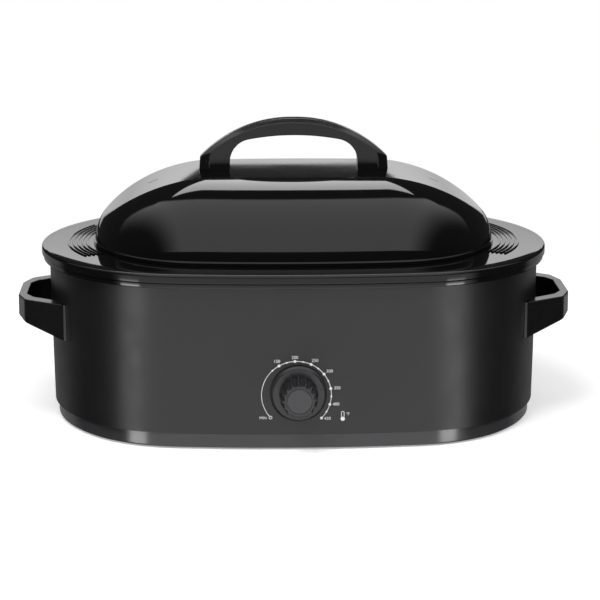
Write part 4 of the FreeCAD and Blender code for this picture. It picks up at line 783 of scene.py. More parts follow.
def lid_rings(wall, lowest):
    """Rings of the lid's side and top, from the edge to the middle, a wall's thickness in."""
    size, mouth, rim_top = sizes("lid"), stations("mouth"), sizes("outline").rim_top

    def dome(angle):
        return ring(mouth, wall + (size.dome_run - wall) * (1 - np.cos(angle)) - size.overhang,
                    rim_top + (size.dome_rise - wall) * np.sin(angle))

    low, high = np.zeros(len(mouth)), np.full(len(mouth), size.dome_top)
    for _ in range(HALVINGS):
        half = (low + high) / 2
        side = dome(half)
        over = side[:, 2] > vault_height(side[:, 0], wall)
        low, high = np.where(over, low, half), np.where(over, half, high)
    crease = dome(high)
    pace = np.hypot(size.dome_run * np.sin(high), size.dome_rise * np.cos(high))
    last = high - size.crease / pace
    first = np.full(len(mouth), math.radians(lowest))
    made = [dome(first + (last - first) * step / SIDE_STEPS) for step in range(SIDE_STEPS + 1)]
    centre = np.array([0, MIDDLE, 0])

    def on_top(share):
        spot = centre + (crease - centre) * share[:, None]
        spot[:, 2] = vault_height(spot[:, 0], wall)
        return spot

    span = np.hypot(crease[:, 0], crease[:, 1] - MIDDLE)
    start, inner = made[-1], 1 - size.crease / span
    stop = on_top(inner)
    for step in range(1, CREASE_STEPS + 1):
        share = step / CREASE_STEPS
        made.append((1 - share) ** 2 * start + 2 * share * (1 - share) * crease + share ** 2 * stop)
    return made + [on_top(inner * (1 - step / TOP_STEPS)) for step in range(1, TOP_STEPS)]


def make_lid():
    """The pressed lid with its rolled bead and two steam slots."""
    size, mouth, rim_top = sizes("lid"), stations("mouth"), sizes("outline").rim_top
    out, inside = -size.overhang - size.bead_stand, size.wall - size.overhang
    over = rim_top + size.bead_height
    inner_rise, inner_edge, bead_round, bead_crease = 0.002, 0.0004, 0.0019, 0.0008
    # The side's first two spots over the bead, in from the lid's outside and up from the bead.
    (first_in, first_up), (second_in, second_up) = (0.0001, 0.0002), (0.0002, 0.0016)
    bead = rounded(((inside, rim_top + inner_rise), (inside, rim_top, inner_edge), (out, rim_top, bead_round),
                    (out, over, bead_round), (first_in - size.overhang, over + first_up, bead_crease),
                    (second_in - size.overhang, over + second_up)), steps=5)
    shell = lid_rings(size.wall, INNER_START)[::-1] + rings(mouth, bead) + lid_rings(0, OUTER_START)
    half, below, above = size.slot_width / 2, 0.035, 0.01
    round_ends = [(end, angle) for end, start in ((1, -90), (-1, 90))
                  for angle in np.radians(np.linspace(start, start + 180, 7))]
    cutters = []
    for side in (1, -1):
        spots = [(side * size.slot_across + end * (size.slot_length / 2 - half) + half * math.cos(angle),
                  MIDDLE + half * math.sin(angle)) for end, angle in round_ends]
        cutters.append(bar("slot", [[(x, y, size.top + lift) for x, y in spots] for lift in (-below, above)]))
    return carved(skin("lid_shell_sheet", shell, crease=50), joined("slot_cutter", cutters))


def both_sides(half):
    """A path from the left foot over the top to the right foot, from its right half as (x, z)."""
    return np.array([(-x, z) for x, z in half] + half[::-1])


def arch_path(side_shift, top_shift):
    """The arch's outer edge in x and z, moved in from its legs and down from its crown."""
    size, foot = sizes("arch"), sizes("lid").top
    leg_steps, bow_spots = 4, 48
    radius = size.crown_round - top_shift
    level = foot + size.height - size.crown_round
    start = math.acos((size.shoulder - side_shift - size.crown) / radius)
    bow = [(size.crown + radius * math.cos(angle), level + radius * math.sin(angle))
           for angle in np.linspace(start, math.pi / 2, bow_spots)]
    leg = np.linspace((size.foot - side_shift, foot), bow[0], leg_steps + 1)[:-1]
    return both_sides([tuple(spot) for spot in leg] + bow)


def opening_path(count):
    """The opening's edge, with so many spots on each side: upright, a rounded corner and a bowed ceiling."""
    size, foot = sizes("arch"), sizes("lid").top
    upright, corner_spots = (0, 0.3, 0.6, 0.9), 24
    radius, corner = size.opening_bow, size.opening_round
    level = foot + size.opening_height - radius
    across = size.half_opening - corner
    up = level + math.sqrt((radius - corner) ** 2 - across ** 2)
    tilt = math.atan2(up - level, across)
    half = [(size.half_opening, foot + (up - foot) * share) for share in upright]
    half += [(across + corner * math.cos(angle), up + corner * math.sin(angle))
             for angle in np.linspace(0, tilt, corner_spots)]
    half += [(radius * math.cos(angle), level + radius * math.sin(angle))
             for angle in np.linspace(tilt, math.pi / 2, count - len(upright) - corner_spots)]
    return both_sides(half)


def make_arch():
    """The lid's handle: an arch with a flat front, bevelled legs and crown, and feet that follow the lid."""
    size, sunk = sizes("arch"), 0.0002
    outer, crest = arch_path(0, 0), arch_path(size.side_bevel, size.top_bevel)
    opening, half = opening_path(len(outer) // 2), size.depth / 2
    sections = [(outer, half - size.bevel), (crest, half), (opening, half), (opening, -half), (crest, -half),
                (outer, size.bevel - half)]
    loops = [[[path[at][0], MIDDLE + depth, path[at][1]] for path, depth in sections]
             for at in range(len(outer))]
    for spot in loops[0] + loops[-1]:
        spot[2] = vault_height(spot[0]) - sunk
    return soften(bar("lid_handle_arch", loops, crease=30), size.edge_round, angle=12)


class ROASTER_OT_lid(bpy.types.Operator):
    """Make the domed lid and its handle"""
    bl_idname = "roaster.lid"
    bl_label = "Lid"

    def execute(self, context):
        look = finishes()
        install(weigh(make_lid()), "lid", "black_enamel", "lid_shell", finish=look["enamel"])
        install(make_arch(), "lid", "black_phenolic", "lid_handle", finish=look["phenolic"])
        return {"FINISHED"}


# ---------------------------------------------------------------- knob and scale

def face_front(made):
    """Turn a piece modelled along +Z so that it points forwards from the dial's middle."""
    low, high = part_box("control_knob")
    spot = Vector((0, high.y, (low.z + high.z) / 2))
    made.data.transform(Matrix.Translation(spot) @ Matrix.Rotation(math.radians(90), 4, "X")
                        @ Matrix.Rotation(-sizes("knob").rest_turn, 4, "Z"))
    return made


def fluted(radius, height, inset=0.0):
    """A ring round the grip with its flutes, made smaller by an inset."""
    size = sizes("knob")
    flute_spots, ridge_shares = 9, (0.25, 0.5, 0.75)
    pitch = 2 * math.pi / size.flutes
    centre = radius + size.flute_radius - size.flute_depth
    reach = math.acos((centre ** 2 + size.flute_radius ** 2 - radius ** 2) / (2 * centre * size.flute_radius))
    spots = []
    for flute in range(size.flutes):
        about = pitch * flute
        for share in np.linspace(-1, 1, flute_spots):
            swing = math.pi + share * reach
            spots.append((about, centre + (size.flute_radius + inset) * math.cos(swing),
                          (size.flute_radius + inset) * math.sin(-swing)))
        edge = math.atan2(spots[-1][2], spots[-1][1])
        for share in ridge_shares:
            swing = edge + (pitch - 2 * edge) * share
            spots.append((about, (radius - inset) * math.cos(swing), (radius - inset) * math.sin(swing)))
    return [(x * math.cos(about) - y * math.sin(about), x * math.sin(about) + y * math.cos(about), height)
            for about, x, y in spots]


def make_knob():
    """The hollow skirt and the tapered, fluted grip in one moulding."""
    size = sizes("knob")
    edge, face = size.skirt_radius, size.skirt_height
    angles = [math.atan2(y, x) for x, y, z in fluted(size.grip_radius, face)]

    def circle(radius, height):
        return [(radius * math.cos(angle), radius * math.sin(angle), height) for angle in angles]

    # Behind the skirt: a recess up to the hub, and a wall whose edge stands off the wrap.
    hub_radius, hub_depth, wall, recess, back = 0.012, 0.0015, 0.0012, 0.0036, 0.0002
    # In front: a small step where the slope meets the face, and the face up to the grip's foot.
    slope, step_run, step_rise, grip_foot = edge - size.skirt_slope, 0.0006, 0.0012, size.grip_radius + 0.0015
    inner_round, back_round, edge_round, step_round = 0.0002, 0.0004, 0.0007, 0.0006
    skirt = rounded(((edge - wall, recess), (edge - wall, back, inner_round), (edge, back, back_round),
                     (edge, size.skirt_edge, edge_round), (slope, face - step_rise, step_round),
                     (slope - step_run, face, step_round), (grip_foot, face)), steps=4)
    loops = [circle(hub_radius, face - hub_depth)] + [circle(radius, height) for radius, height in skirt]
    for share in (0, 0.02, 0.25, 0.5, 0.75, 0.93):
        radius = size.grip_radius + (size.face_radius - size.grip_radius) * share
        loops.append(fluted(radius, face + (size.height - face) * share))
    for angle in np.radians((0, 25, 50, 75, 90)):
        loops.append(fluted(size.face_radius, size.height - size.face_round * (1 - math.sin(angle)),
                            size.face_round * (1 - math.cos(angle))))
    seat = size.cap_radius + 0.0004
    loops += [circle(seat, size.height), circle(seat, size.height - size.cap_depth)]
    return skin("control_knob_grip", loops, crease=40)


def turned(name, section, around=96):
    """A solid turned about Z through radii and heights."""
    angles = np.linspace(0, 2 * math.pi, around, endpoint=False)
    return skin(name, [[(radius * math.cos(angle), radius * math.sin(angle), height) for angle in angles]
                       for radius, height in section])


def make_cap():
    """The shallow disc in the grip's face."""
    size = sizes("knob")
    foot, top = size.height - size.cap_depth, size.height + size.cap_stand
    pole, foot_round, top_round, border, dish = 0.001, 0.0002, 0.0012, 0.004, 0.0001
    section = rounded(((pole, foot), (size.cap_radius, foot, foot_round), (size.cap_radius, top, top_round),
                       (size.cap_radius - border, top), (pole, top - dish)))
    return turned("knob_cap_disc", section)


def make_pointer():
    """The mark let into the skirt's face, which points to the set temperature; its near-black finish is
    painted shade of a notch.
    """
    size = sizes("knob")
    half, stand, sunk, from_grip, from_slope, edge_round = 0.0009, 0.0002, 0.001, 0.0024, 0.001, 0.0002
    near, far = size.grip_radius + from_grip, size.skirt_radius - size.skirt_slope - from_slope
    corners = ((-half, near), (half, near), (half, far), (-half, far))
    loops = [[(x, y, size.skirt_height + lift) for x, y in corners] for lift in (-sunk, stand)]
    return soften(bar("knob_pointer", loops), edge_round, segments=2)


class ROASTER_OT_knob(bpy.types.Operator):
    """Make the temperature knob, its cap and its pointer"""
    bl_idname = "roaster.knob"
    bl_label = "Knob"

    def execute(self, context):
        look = finishes()
        install(face_front(weigh(make_knob())), "knob", "knob_plastic", "control_knob", finish=look["knob"])
        install(face_front(weigh(make_cap())), "knob", "cap_plastic", "knob_cap", finish=look["cap"])
        # The pointer takes the handles' near-black finish as painted shade, standing in for the shade inside
        # a notch.
        install(face_front(make_pointer()), "knob", "cap_plastic", finish=look["phenolic"])
        return {"FINISHED"}


# How far the back of the print stands off the paint, and what height Blender's own letters have for each unit
# of their size.
PRINT_STAND = 0.00004
LETTER_HEIGHT = 0.69


def printed(made):
    """Lay a flat piece, drawn in X and Y with its ink up Z, on the wrap round the scale's centre."""
    dial = sizes("dial")
    for vertex in made.data.vertices:
        across, height = dial.across + vertex.co.x, dial.height + vertex.co.y
        vertex.co = (across, wrap_front(across, height) - PRINT_STAND - vertex.co.z, height)
    return made


def mark_tree():
    """Dots along an arc; the second and every other one after it are large."""
    tree, given = growing_tree("Scale Marks", {
        "Count": ("Int", 14), "First": ("Float", 0.0), "Step": ("Float", 0.2), "Radius": ("Float", 0.037),
        "Large": ("Float", 0.0019), "Small": ("Float", 0.0011), "Ink": ("Float", 0.0001)})
    index = add(tree, "GeometryNodeInputIndex")
    angle = add(tree, "ShaderNodeMath", {0: index.outputs[0], 1: given["Step"], 2: given["First"]},
                operation="MULTIPLY_ADD")
    across = add(tree, "ShaderNodeMath", {0: angle.outputs[0]}, operation="SINE")
    up = add(tree, "ShaderNodeMath", {0: angle.outputs[0]}, operation="COSINE")
    spot = add(tree, "ShaderNodeCombineXYZ", {0: across.outputs[0], 1: up.outputs[0]})
    out = add(tree, "ShaderNodeVectorMath", {0: spot.outputs[0], "Scale": given["Radius"]}, operation="SCALE")
    points = add(tree, "GeometryNodePoints", {"Count": given["Count"], "Position": out.outputs[0]})
    odd = add(tree, "ShaderNodeMath", {0: index.outputs[0], 1: 2.0}, operation="MODULO")
    size = add(tree, "ShaderNodeMapRange", {"Value": odd.outputs[0], "To Min": given["Small"],
                                            "To Max": given["Large"]})
    scale = add(tree, "ShaderNodeCombineXYZ", {0: size.outputs[0], 1: size.outputs[0], 2: given["Ink"]})
    disc = add(tree, "GeometryNodeMeshCylinder", {"Vertices": 24, "Radius": 1.0, "Depth": 1.0})
    placed = add(tree, "GeometryNodeInstanceOnPoints", {
        "Points": points.outputs[0], "Instance": disc.outputs[0], "Scale": scale.outputs[0]})
    return close_tree(tree, given, placed.outputs[0])


def band(name, radius, width, start, stop, ink, steps=96, spot=(0, 0)):
    """A flat printed arc about a spot, its angles clockwise from the top; a full turn closes on itself."""
    near, far = radius - width / 2, radius + width / 2
    section = ((near, 0), (far, 0), (far, ink), (near, ink))
    loops = [[(spot[0] + reach * math.sin(angle), spot[1] + reach * math.cos(angle), height)
              for reach, height in section] for angle in np.linspace(start, stop, steps + 1)]
    closed = math.isclose(stop - start, 2 * math.pi)
    return skin(name, loops[:-1] if closed else loops, closed=closed)


def figure(text, height, ink):
    """One printed word or number, centred on the origin."""
    curve = bpy.data.curves.new("Figure", "FONT")
    curve.body, curve.size, curve.extrude = text, height / LETTER_HEIGHT, ink / 2
    curve.align_x, curve.align_y = "CENTER", "CENTER"
    curve.resolution_u = 3
    made = plain(linked("figure", curve))
    made.data.transform(Matrix.Translation((0, 0, ink / 2)))
    return made


def thermometer(spot, ink):
    """The printed sign of a thermometer: a bulb, filled but for a pinhole, with a hollow tube over it."""
    across, height = spot
    bulb_radius, bulb_width, half, line, foot, rise = 0.00115, 0.0022, 0.0014, 0.0006, 0.0015, 0.0068
    parts = [band("bulb", bulb_radius, bulb_width, 0, 2 * math.pi, ink, 32, spot),
             band("tube_end", half, line, -math.pi / 2, math.pi / 2, ink, 16, (across, height + rise))]
    for side in (-1, 1):
        left, right = across + side * half - line / 2, across + side * half + line / 2
        loops = [[(left, level, 0), (right, level, 0), (right, level, ink), (left, level, ink)]
                 for level in (height + foot, height + rise)]
        parts.append(skin("tube_side", loops))
    return parts


def joined(name, parts):
    """Several mesh objects as one."""
    work = bmesh.new()
    for part in parts:
        work.from_mesh(part.data)
        bpy.data.objects.remove(part)
    mesh = bpy.data.meshes.new(name)
    work.to_mesh(mesh)
    work.free()
    return linked(name, mesh)


# Where the words and signs stand, across and up, in millimetres: the numbers from their marks, lowest first,
# MIN from the lowest mark, and the unit and the thermometer from the scale's centre.
FIGURE_OFFSETS = ((-2.3, 4.8), (0, 4.1), (4.1, 4.1), (5.8, 3.1), (6.8, 0.4), (6.6, 0), (6.3, -0.6))
MIN_OFFSET = (-7.9, -0.6)
UNIT_SPOT = (54.3, -21.6)
THERMOMETER_SPOT = (49, -26.7)
# Radius and line width of the ring that is the lowest mark, in millimetres, and the degrees from it to the
# start of the line.
LOWEST_RADIUS, LOWEST_LINE, LINE_GAP = 1.5, 0.7, 3.2
# The words' height as a share of the numbers', and the dots' ink as a multiple of the line's.
WORD_HEIGHT, DOT_INK = 0.9, 2.4


def moved(made, spot):
    """Move a flat piece from the origin to a spot across and up."""
    made.data.transform(Matrix.Translation((spot[0], spot[1], 0)))
    return made


class ROASTER_OT_scale(bpy.types.Operator):
    """Print the temperature scale on the wrap"""
    bl_idname = "roaster.scale"
    bl_label = "Temperature Scale"

    def execute(self, context):
        dial, ink = sizes("dial"), finishes()["ink"]

        def near(angle, across=0, up=0):
            """The line's spot at an angle clockwise from the top, moved across and up by millimetres."""
            return dial.radius * math.sin(angle) + across * MM, dial.radius * math.cos(angle) + up * MM

        def word(text):
            return figure(text, dial.figure * WORD_HEIGHT, dial.ink)

        last = dial.first_mark + (dial.marks - 1) * dial.mark_step
        line = band("scale_line", dial.radius, dial.line, dial.start + math.radians(LINE_GAP), last, dial.ink)
        marks = grown("scale_marks", mark_tree(), ink, {
            "Count": dial.marks, "First": dial.first_mark, "Step": dial.mark_step, "Radius": dial.radius,
            "Large": dial.large_mark, "Small": dial.small_mark, "Ink": dial.ink * DOT_INK})
        parts = [band("lowest_mark", LOWEST_RADIUS * MM, LOWEST_LINE * MM, 0, 2 * math.pi, dial.ink, 32,
                      near(dial.start))]
        for place, offset in zip(range(dial.marks // 2), FIGURE_OFFSETS):
            made = figure(str(dial.first_figure + place * dial.figure_step), dial.figure, dial.ink)
            parts.append(moved(made, near(dial.first_mark + (2 * place + 1) * dial.mark_step, *offset)))
        parts.append(moved(word("MIN"), near(dial.start, *MIN_OFFSET)))
        parts.append(moved(word("°F"), [part * MM for part in UNIT_SPOT]))
        parts += thermometer([part * MM for part in THERMOMETER_SPOT], dial.ink)
        letters = joined("scale_figures", parts)
        for made in (line, marks, letters):
            install(printed(made), "housing", None, finish=ink)
        return {"FINISHED"}


# ---------------------------------------------------------------- rack

def wire_tree():
    """Edges bent round their corners and swept to round wire."""
    tree, given = growing_tree("Rack Wires", {"Radius": ("Float", 0.002), "Bend": ("Float", 0.0)})
    paths = add(tree, "GeometryNodeMeshToCurve", {"Mesh": given["Geometry"]})
    bent = add(tree, "GeometryNodeFilletCurve", {
        "Curve": paths.outputs[0], "Count": 8, "Radius": given["Bend"], "Limit Radius": True}, mode="POLY")
    section = add(tree, "GeometryNodeCurvePrimitiveCircle", {"Resolution": 12, "Radius": given["Radius"]})
    swept = add(tree, "GeometryNodeCurveToMesh", {
        "Curve": bent.outputs[0], "Profile Curve": section.outputs[0], "Fill Caps": True})
    return close_tree(tree, given, swept.outputs[0])


def wires(name, tree, paths, radius, finish, bend=0.0, closed=False):
    """Wires along paths of points, with their corners bent to a radius."""
    points = [tuple(map(float, spot)) for path in paths for spot in path]
    edges, first = [], 0
    for path in paths:
        edges += [(first + at, first + at + 1) for at in range(len(path) - 1)]
        if closed:
            edges.append((first + len(path) - 1, first))
        first += len(path)
    seed = bpy.data.meshes.new(name)
    seed.from_pydata(points, edges, [])
    return grown(name, tree, finish, {"Radius": radius, "Bend": bend}, seed)


class ROASTER_OT_rack(bpy.types.Operator):
    """Make the wire rack that stands in the pan"""
    bl_idname = "roaster.rack"
    bl_label = "Wire Rack"

    def execute(self, context):
        size, pan, outline = sizes("rack"), sizes("pan"), sizes("outline")
        chrome, tree = finishes()["chrome"], wire_tree()
        floor, inset = outline.rim_top - pan.depth, size.inset + size.wire
        hoop = floor + size.stand + size.wire
        loop = ring(stations("mouth"), inset, hoop)
        over = hoop + size.wire + size.cross_wire - size.weld
        front = loop[loop[:, 1] < MIDDLE]
        front = front[np.argsort(front[:, 0])]
        crossings = []
        for place in range(size.count):
            across = (place - (size.count - 1) / 2) * size.pitch
            near = np.interp(across, front[:, 0], front[:, 1])
            crossings.append([(across, near, over), (across, 2 * MIDDLE - near, over)])
        end, half = outline.mouth_end, size.grip_half
        reach = outline.mouth_half_width - end + math.sqrt((end - inset) ** 2 - half ** 2)
        crown = floor + size.stand + size.grip_rise
        grips = [[(side * reach, MIDDLE + along, height) for along, height in (
            (-half, floor), (-half, crown), (half, crown), (half, floor))] for side in (1, -1)]
        rack = joined("wire_rack", [wires("hoop", tree, [loop], size.wire, chrome, closed=True),
                                    wires("crossings", tree, crossings, size.cross_wire, chrome),
                                    wires("grips", tree, grips, size.wire, chrome, size.bend)])
        smooth(rack.data, crease=50)
        install(rack, "rack", "rack_chrome", "roasting_rack", finish=chrome)
        return {"FINISHED"}


# ---------------------------------------------------------------- finishes

# Each finish by its key: its name, its base colour (a hex code or one of the colours above), metallic,
# roughness, IOR, then the size of the grain, how far it stretches along X, Y and Z, the height of its relief,
# and how much it changes the colour and the roughness. Lengths are in millimetres.
FINISHES = {
    # Fired glass enamel: deep black, as glossy as glass, with a faint ripple left by the melt.
    "enamel": ("Fired Porcelain Enamel", "enamel", 0, 0.045, 1.5, 9, (1, 1, 1), 0.0025, 0.10, 0.02),
    # Baked powder paint: satin, with a fine orange peel.
    "wrap": ("Baked Satin Powder Paint", "wrap", 0, 0.38, 1.55, 1.6, (1, 1, 1), 0.010, 0.06, 0.05),
    # Baked semi-gloss paint over a pressing: smoother than the wrap's.
    "base": ("Baked Semi-Gloss Paint", "base", 0, 0.18, 1.5, 2.5, (1, 1, 1), 0.004, 0.05, 0.04),
    # Aluminised steel sheet: grey, with a drawn grain round the tub and a soft spangle.
    "liner": ("Aluminised Steel Sheet", "B4B7B9", 1, 0.34, 1.5, 2.2, (1, 1, 9), 0.012, 0.16, 0.16),
    # Cold-rolled steel that has been hot: straw and grey patches of oxide.
    "heater": ("Heat-Tinted Steel", "8C8680", 1, 0.42, 1.5, 7, (1, 1, 3), 0.010, 0.35, 0.15),
    # Needled glass-fibre blanket: cream and matt, with a loose felted nap.
    "felt": ("Needled Glass-Fibre Felt", "D9CFA9", 0, 0.95, 1.5, 1.8, (1, 1, 3), 0.45, 0.22, 0.03),
    # Compression-moulded phenolic: near black, a soft gloss with a faint flow pattern.
    "phenolic": ("Moulded Phenolic", "phenolic", 0, 0.16, 1.55, 5, (1, 1, 1), 0.004, 0.12, 0.06),
    # Injection-moulded plastic of the knob: a semi-gloss skin with a very fine texture.
    "knob": ("Moulded Polyamide", "knob", 0, 0.22, 1.53, 0.9, (1, 1, 1), 0.004, 0.08, 0.05),
    # The cap's moulding: the same kind, a little more matt.
    "cap": ("Moulded Satin Polyamide", "cap", 0, 0.3, 1.53, 0.7, (1, 1, 1), 0.004, 0.08, 0.05),
    # Moulded phenolic case of the control: brown, with wood-flour filler showing.
    "case": ("Filled Brown Phenolic", "4A3A2C", 0, 0.4, 1.55, 1.2, (1, 1, 2), 0.01, 0.3, 0.08),
    # Bright zinc plate on steel: bluish and softly mottled.
    "zinc": ("Zinc-Plated Steel", "BFC3C6", 1, 0.28, 1.5, 1.1, (1, 1, 1), 0.004, 0.12, 0.12),
    # Extruded aluminium: pale, with drawn lines along its length.
    "aluminium": ("Extruded Aluminium", "C8CACC", 1, 0.3, 1.5, 0.8, (12, 1, 1), 0.006, 0.08, 0.12),
    # Bright chrome plate over drawn wire.
    "chrome": ("Chrome-Plated Wire", "DADCDD", 1, 0.09, 1.5, 3, (1, 1, 1), 0.003, 0.04, 0.04),
    # Moulded rubber: matt, with dust in its grain.
    "rubber": ("Moulded Rubber", "1B1B1B", 0, 0.75, 1.5, 0.9, (1, 1, 1), 0.03, 0.2, 0.08),
    # Braided glass sleeving soaked in silicone: off-white with a fine weave.
    "sleeve": ("Silicone-Coated Glass Sleeving", "CFC7B4", 0, 0.6, 1.42, 0.7, (1, 3, 1), 0.08, 0.2, 0.06),
    # Moulded nylon of the cord's bushing.
    "nylon": ("Moulded Nylon", "1C1C1D", 0, 0.42, 1.53, 0.8, (1, 1, 1), 0.006, 0.1, 0.08),
    # Screen-printed epoxy ink: pale, matt and a little uneven.
    "ink": ("Screen-Printed Epoxy Ink", "ink", 0, 0.5, 1.5, 0.6, (1, 1, 1), 0.002, 0.06, 0.04),
}


# The broad mottling is this many times as large as the grain.
BROAD = 12
# No surface is smoother than this roughness.
SMOOTHEST = 0.02


def finish_of(title, base, metallic, rough, ior, grain, stretch, relief, tinting, scuffing):
    """One material: its colour, roughness and relief vary with a noise on Object coordinates."""
    base = tuple(getattr(sizes("colours"), base)) if hasattr(sizes("colours"), base) else paint(base)
    made = bpy.data.materials.new(title)
    made.use_nodes = True
    tree = made.node_tree
    tree.nodes.clear()
    place = add(tree, "ShaderNodeTexCoord")
    laid = add(tree, "ShaderNodeMapping", {"Vector": place.outputs["Object"],
                                           "Scale": tuple(1 / part for part in stretch)})
    fine = add(tree, "ShaderNodeTexNoise", {"Vector": laid.outputs[0], "Scale": 1 / (grain * MM),
                                            "Detail": 3.0, "Roughness": 0.55})
    broad = add(tree, "ShaderNodeTexNoise", {"Vector": laid.outputs[0], "Scale": 1 / (grain * BROAD * MM),
                                             "Detail": 2.0})
    both = add(tree, "ShaderNodeMath", {0: fine.outputs["Fac"], 1: broad.outputs["Fac"]}, operation="ADD")
    tint = add(tree, "ShaderNodeMapRange", {"Value": both.outputs[0], "From Min": 0.6, "From Max": 1.4,
                                            "To Min": 1 - tinting, "To Max": 1 + tinting})
    shade = add(tree, "ShaderNodeVectorMath", {0: base[:3], "Scale": tint.outputs[0]}, operation="SCALE")
    gloss = add(tree, "ShaderNodeMapRange", {
        "Value": broad.outputs["Fac"], "From Min": 0.3, "From Max": 0.7,
        "To Min": max(rough - scuffing / 2, SMOOTHEST), "To Max": rough + scuffing / 2})
    height = add(tree, "ShaderNodeBump", {"Height": fine.outputs["Fac"], "Distance": relief * MM,
                                          "Strength": 1.0})
    surface = add(tree, "ShaderNodeBsdfPrincipled", {
        "Base Color": shade.outputs[0], "Roughness": gloss.outputs[0], "Normal": height.outputs[0],
        "Metallic": float(metallic), "IOR": ior})
    add(tree, "ShaderNodeOutputMaterial", {"Surface": surface.outputs[0]})
    made.diffuse_color = base
    return made


MADE = {}


def finishes():
    """All materials by key, made once."""
    if not MADE:
        MADE.update({key: finish_of(*facts) for key, facts in FINISHES.items()})
    return MADE


# The pieces that keep their solids' own shape, by the finish that they get.
CARRIED = {
    "zinc": ("well_posts", "base_screws", "bracket_screws", "thermostat_bracket", "side_handle_screws",
             "lid_handle_screws", "lid_handle_washers", "band_clamp", "knob_clip", "thermostat_shaft"),
    "rubber": ("rubber_feet",), "heater": ("heating_band",), "felt": ("insulation_blanket",),
    "case": ("thermostat", "terminal_block"), "aluminium": ("sensor_plate",),
    "sleeve": ("internal_leads", "thermal_fuse"), "nylon": ("cord_bushing",),
}


class ROASTER_OT_inner_pieces(bpy.types.Operator):
    """Give the pieces that keep their solids' own shape their finishes"""
    bl_idname = "roaster.inner_pieces"
    bl_label = "Inner Pieces"

    def execute(self, context):
        for key, nodes in CARRIED.items():
            for node in nodes:
                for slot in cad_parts[node].material_slots:
                    slot.material = finishes()[key]
        return {"FINISHED"}


# ---------------------------------------------------------------- studio

# What a glossy surface sees: soft boxes as regions of directions, each a brightness, whether it is the
# same left and right, and half-spaces (direction, edge, softness) that bound it.
SOFT_BOXES = (
    # The wide box over the front.
    (1.08, True, (((0, -1, 0), -0.57, 0.02), ((0, -1.12, -1), -1.335, 0.02), ((0, -1, 0.4), -0.4, 0.02),
                  ((0, 0.355, 1), 0, 0.008), ((-1, 0, 0), -0.66, 0.22))),
    # The bright box high at the back.
    (3.6, True, (((0, 1, -0.74), 0, 0.01), ((-1.65, -1, 1.47), 0, 0.01))),
    # The pale table in front, and its brighter part near the cooker.
    (0.8, True, (((-0.47, -0.883, 0), 0, 0.14), ((0, 0, -1), 0.113, 0.012))),
    (0.6, True, (((-0.47, -0.883, 0), 0, 0.14), ((0, 0, -1), 0.215, 0.02))),
    # The pale table behind.
    (0.25, True, (((0, 1, 0), 0.58, 0.08), ((0, 0, -1), 0.14, 0.03), ((0, 0, 1), -0.33, 0.03))),
)
# Low bright patches on the left and the right, which show in the base: two azimuths and two elevations, in
# degrees, and a brightness.
PATCHES = ((-61, -44, -17, -12, 10), (38, 54, -17, -12, 10))
# How soft a patch's upright and level edges are.
SIDE_BLUR, LEVEL_BLUR = 0.03, 0.02
# How bright a glossy surface sees the rest of the room, and how brightly the room lights matt surfaces.
ROOM, FILL = 0.03, 0.42


def patch_planes(first, last, low, high):
    """The half-spaces that bound a patch between two azimuths and two elevations."""
    first, last, low, high = (math.radians(part) for part in (first, last, low, high))
    return (((math.cos(first), math.sin(first), 0), 0, SIDE_BLUR),
            ((-math.cos(last), -math.sin(last), 0), 0, SIDE_BLUR),
            ((0, 0, 1), math.sin(low), LEVEL_BLUR), ((0, 0, -1), -math.sin(high), LEVEL_BLUR))


def make_world():
    """White to the camera, even fill for matt surfaces, and soft boxes for glossy ones."""
    world = bpy.data.worlds.new("Plain Studio")
    bpy.context.scene.world = world
    world.use_nodes = True
    tree = world.node_tree
    tree.nodes.clear()
    place = add(tree, "ShaderNodeTexCoord")
    apart = add(tree, "ShaderNodeSeparateXYZ", {0: place.outputs["Generated"]})
    sideways = add(tree, "ShaderNodeMath", {0: apart.outputs[0]}, operation="ABSOLUTE")
    folded = add(tree, "ShaderNodeCombineXYZ", {0: sideways.outputs[0], 1: apart.outputs[1],
                                                2: apart.outputs[2]})
    boxes = SOFT_BOXES + tuple((patch[-1], False, patch_planes(*patch[:-1])) for patch in PATCHES)
    glow = ROOM
    for brightness, even, planes in boxes:
        mask, facing = brightness, folded.outputs[0] if even else place.outputs["Generated"]
        for direction, edge, blur in planes:
            along = add(tree, "ShaderNodeVectorMath", {0: facing, 1: direction}, operation="DOT_PRODUCT")
            side = add(tree, "ShaderNodeMapRange", {"Value": along.outputs["Value"], "From Min": edge - blur,
                                                    "From Max": edge + blur}, interpolation_type="SMOOTHSTEP")
            mask = add(tree, "ShaderNodeMath", {0: mask, 1: side.outputs[0]}, operation="MULTIPLY").outputs[0]
        glow = add(tree, "ShaderNodeMath", {0: glow, 1: mask}, operation="ADD").outputs[0]
    ray = add(tree, "ShaderNodeLightPath")
    level = add(tree, "ShaderNodeMix", {0: ray.outputs["Is Glossy Ray"], 2: FILL, 3: glow})
    seen = add(tree, "ShaderNodeMath", {0: ray.outputs["Is Camera Ray"],
                                        1: ray.outputs["Is Transmission Ray"]}, operation="MAXIMUM")
    strength = add(tree, "ShaderNodeMix", {0: seen.outputs[0], 2: level.outputs[0], 3: 1.0})
    sky = add(tree, "ShaderNodeBackground", {"Color": paint("FFFFFF"), "Strength": strength.outputs[0]})
    add(tree, "ShaderNodeOutputWorld", {0: sky.outputs[0]})


# The tabletop: its radius and thickness, and how much it glows for the camera so that it looks white.
TABLE_RADIUS, TABLE_THICK, TABLE_GLOW = 0.95, 0.004, 0.35


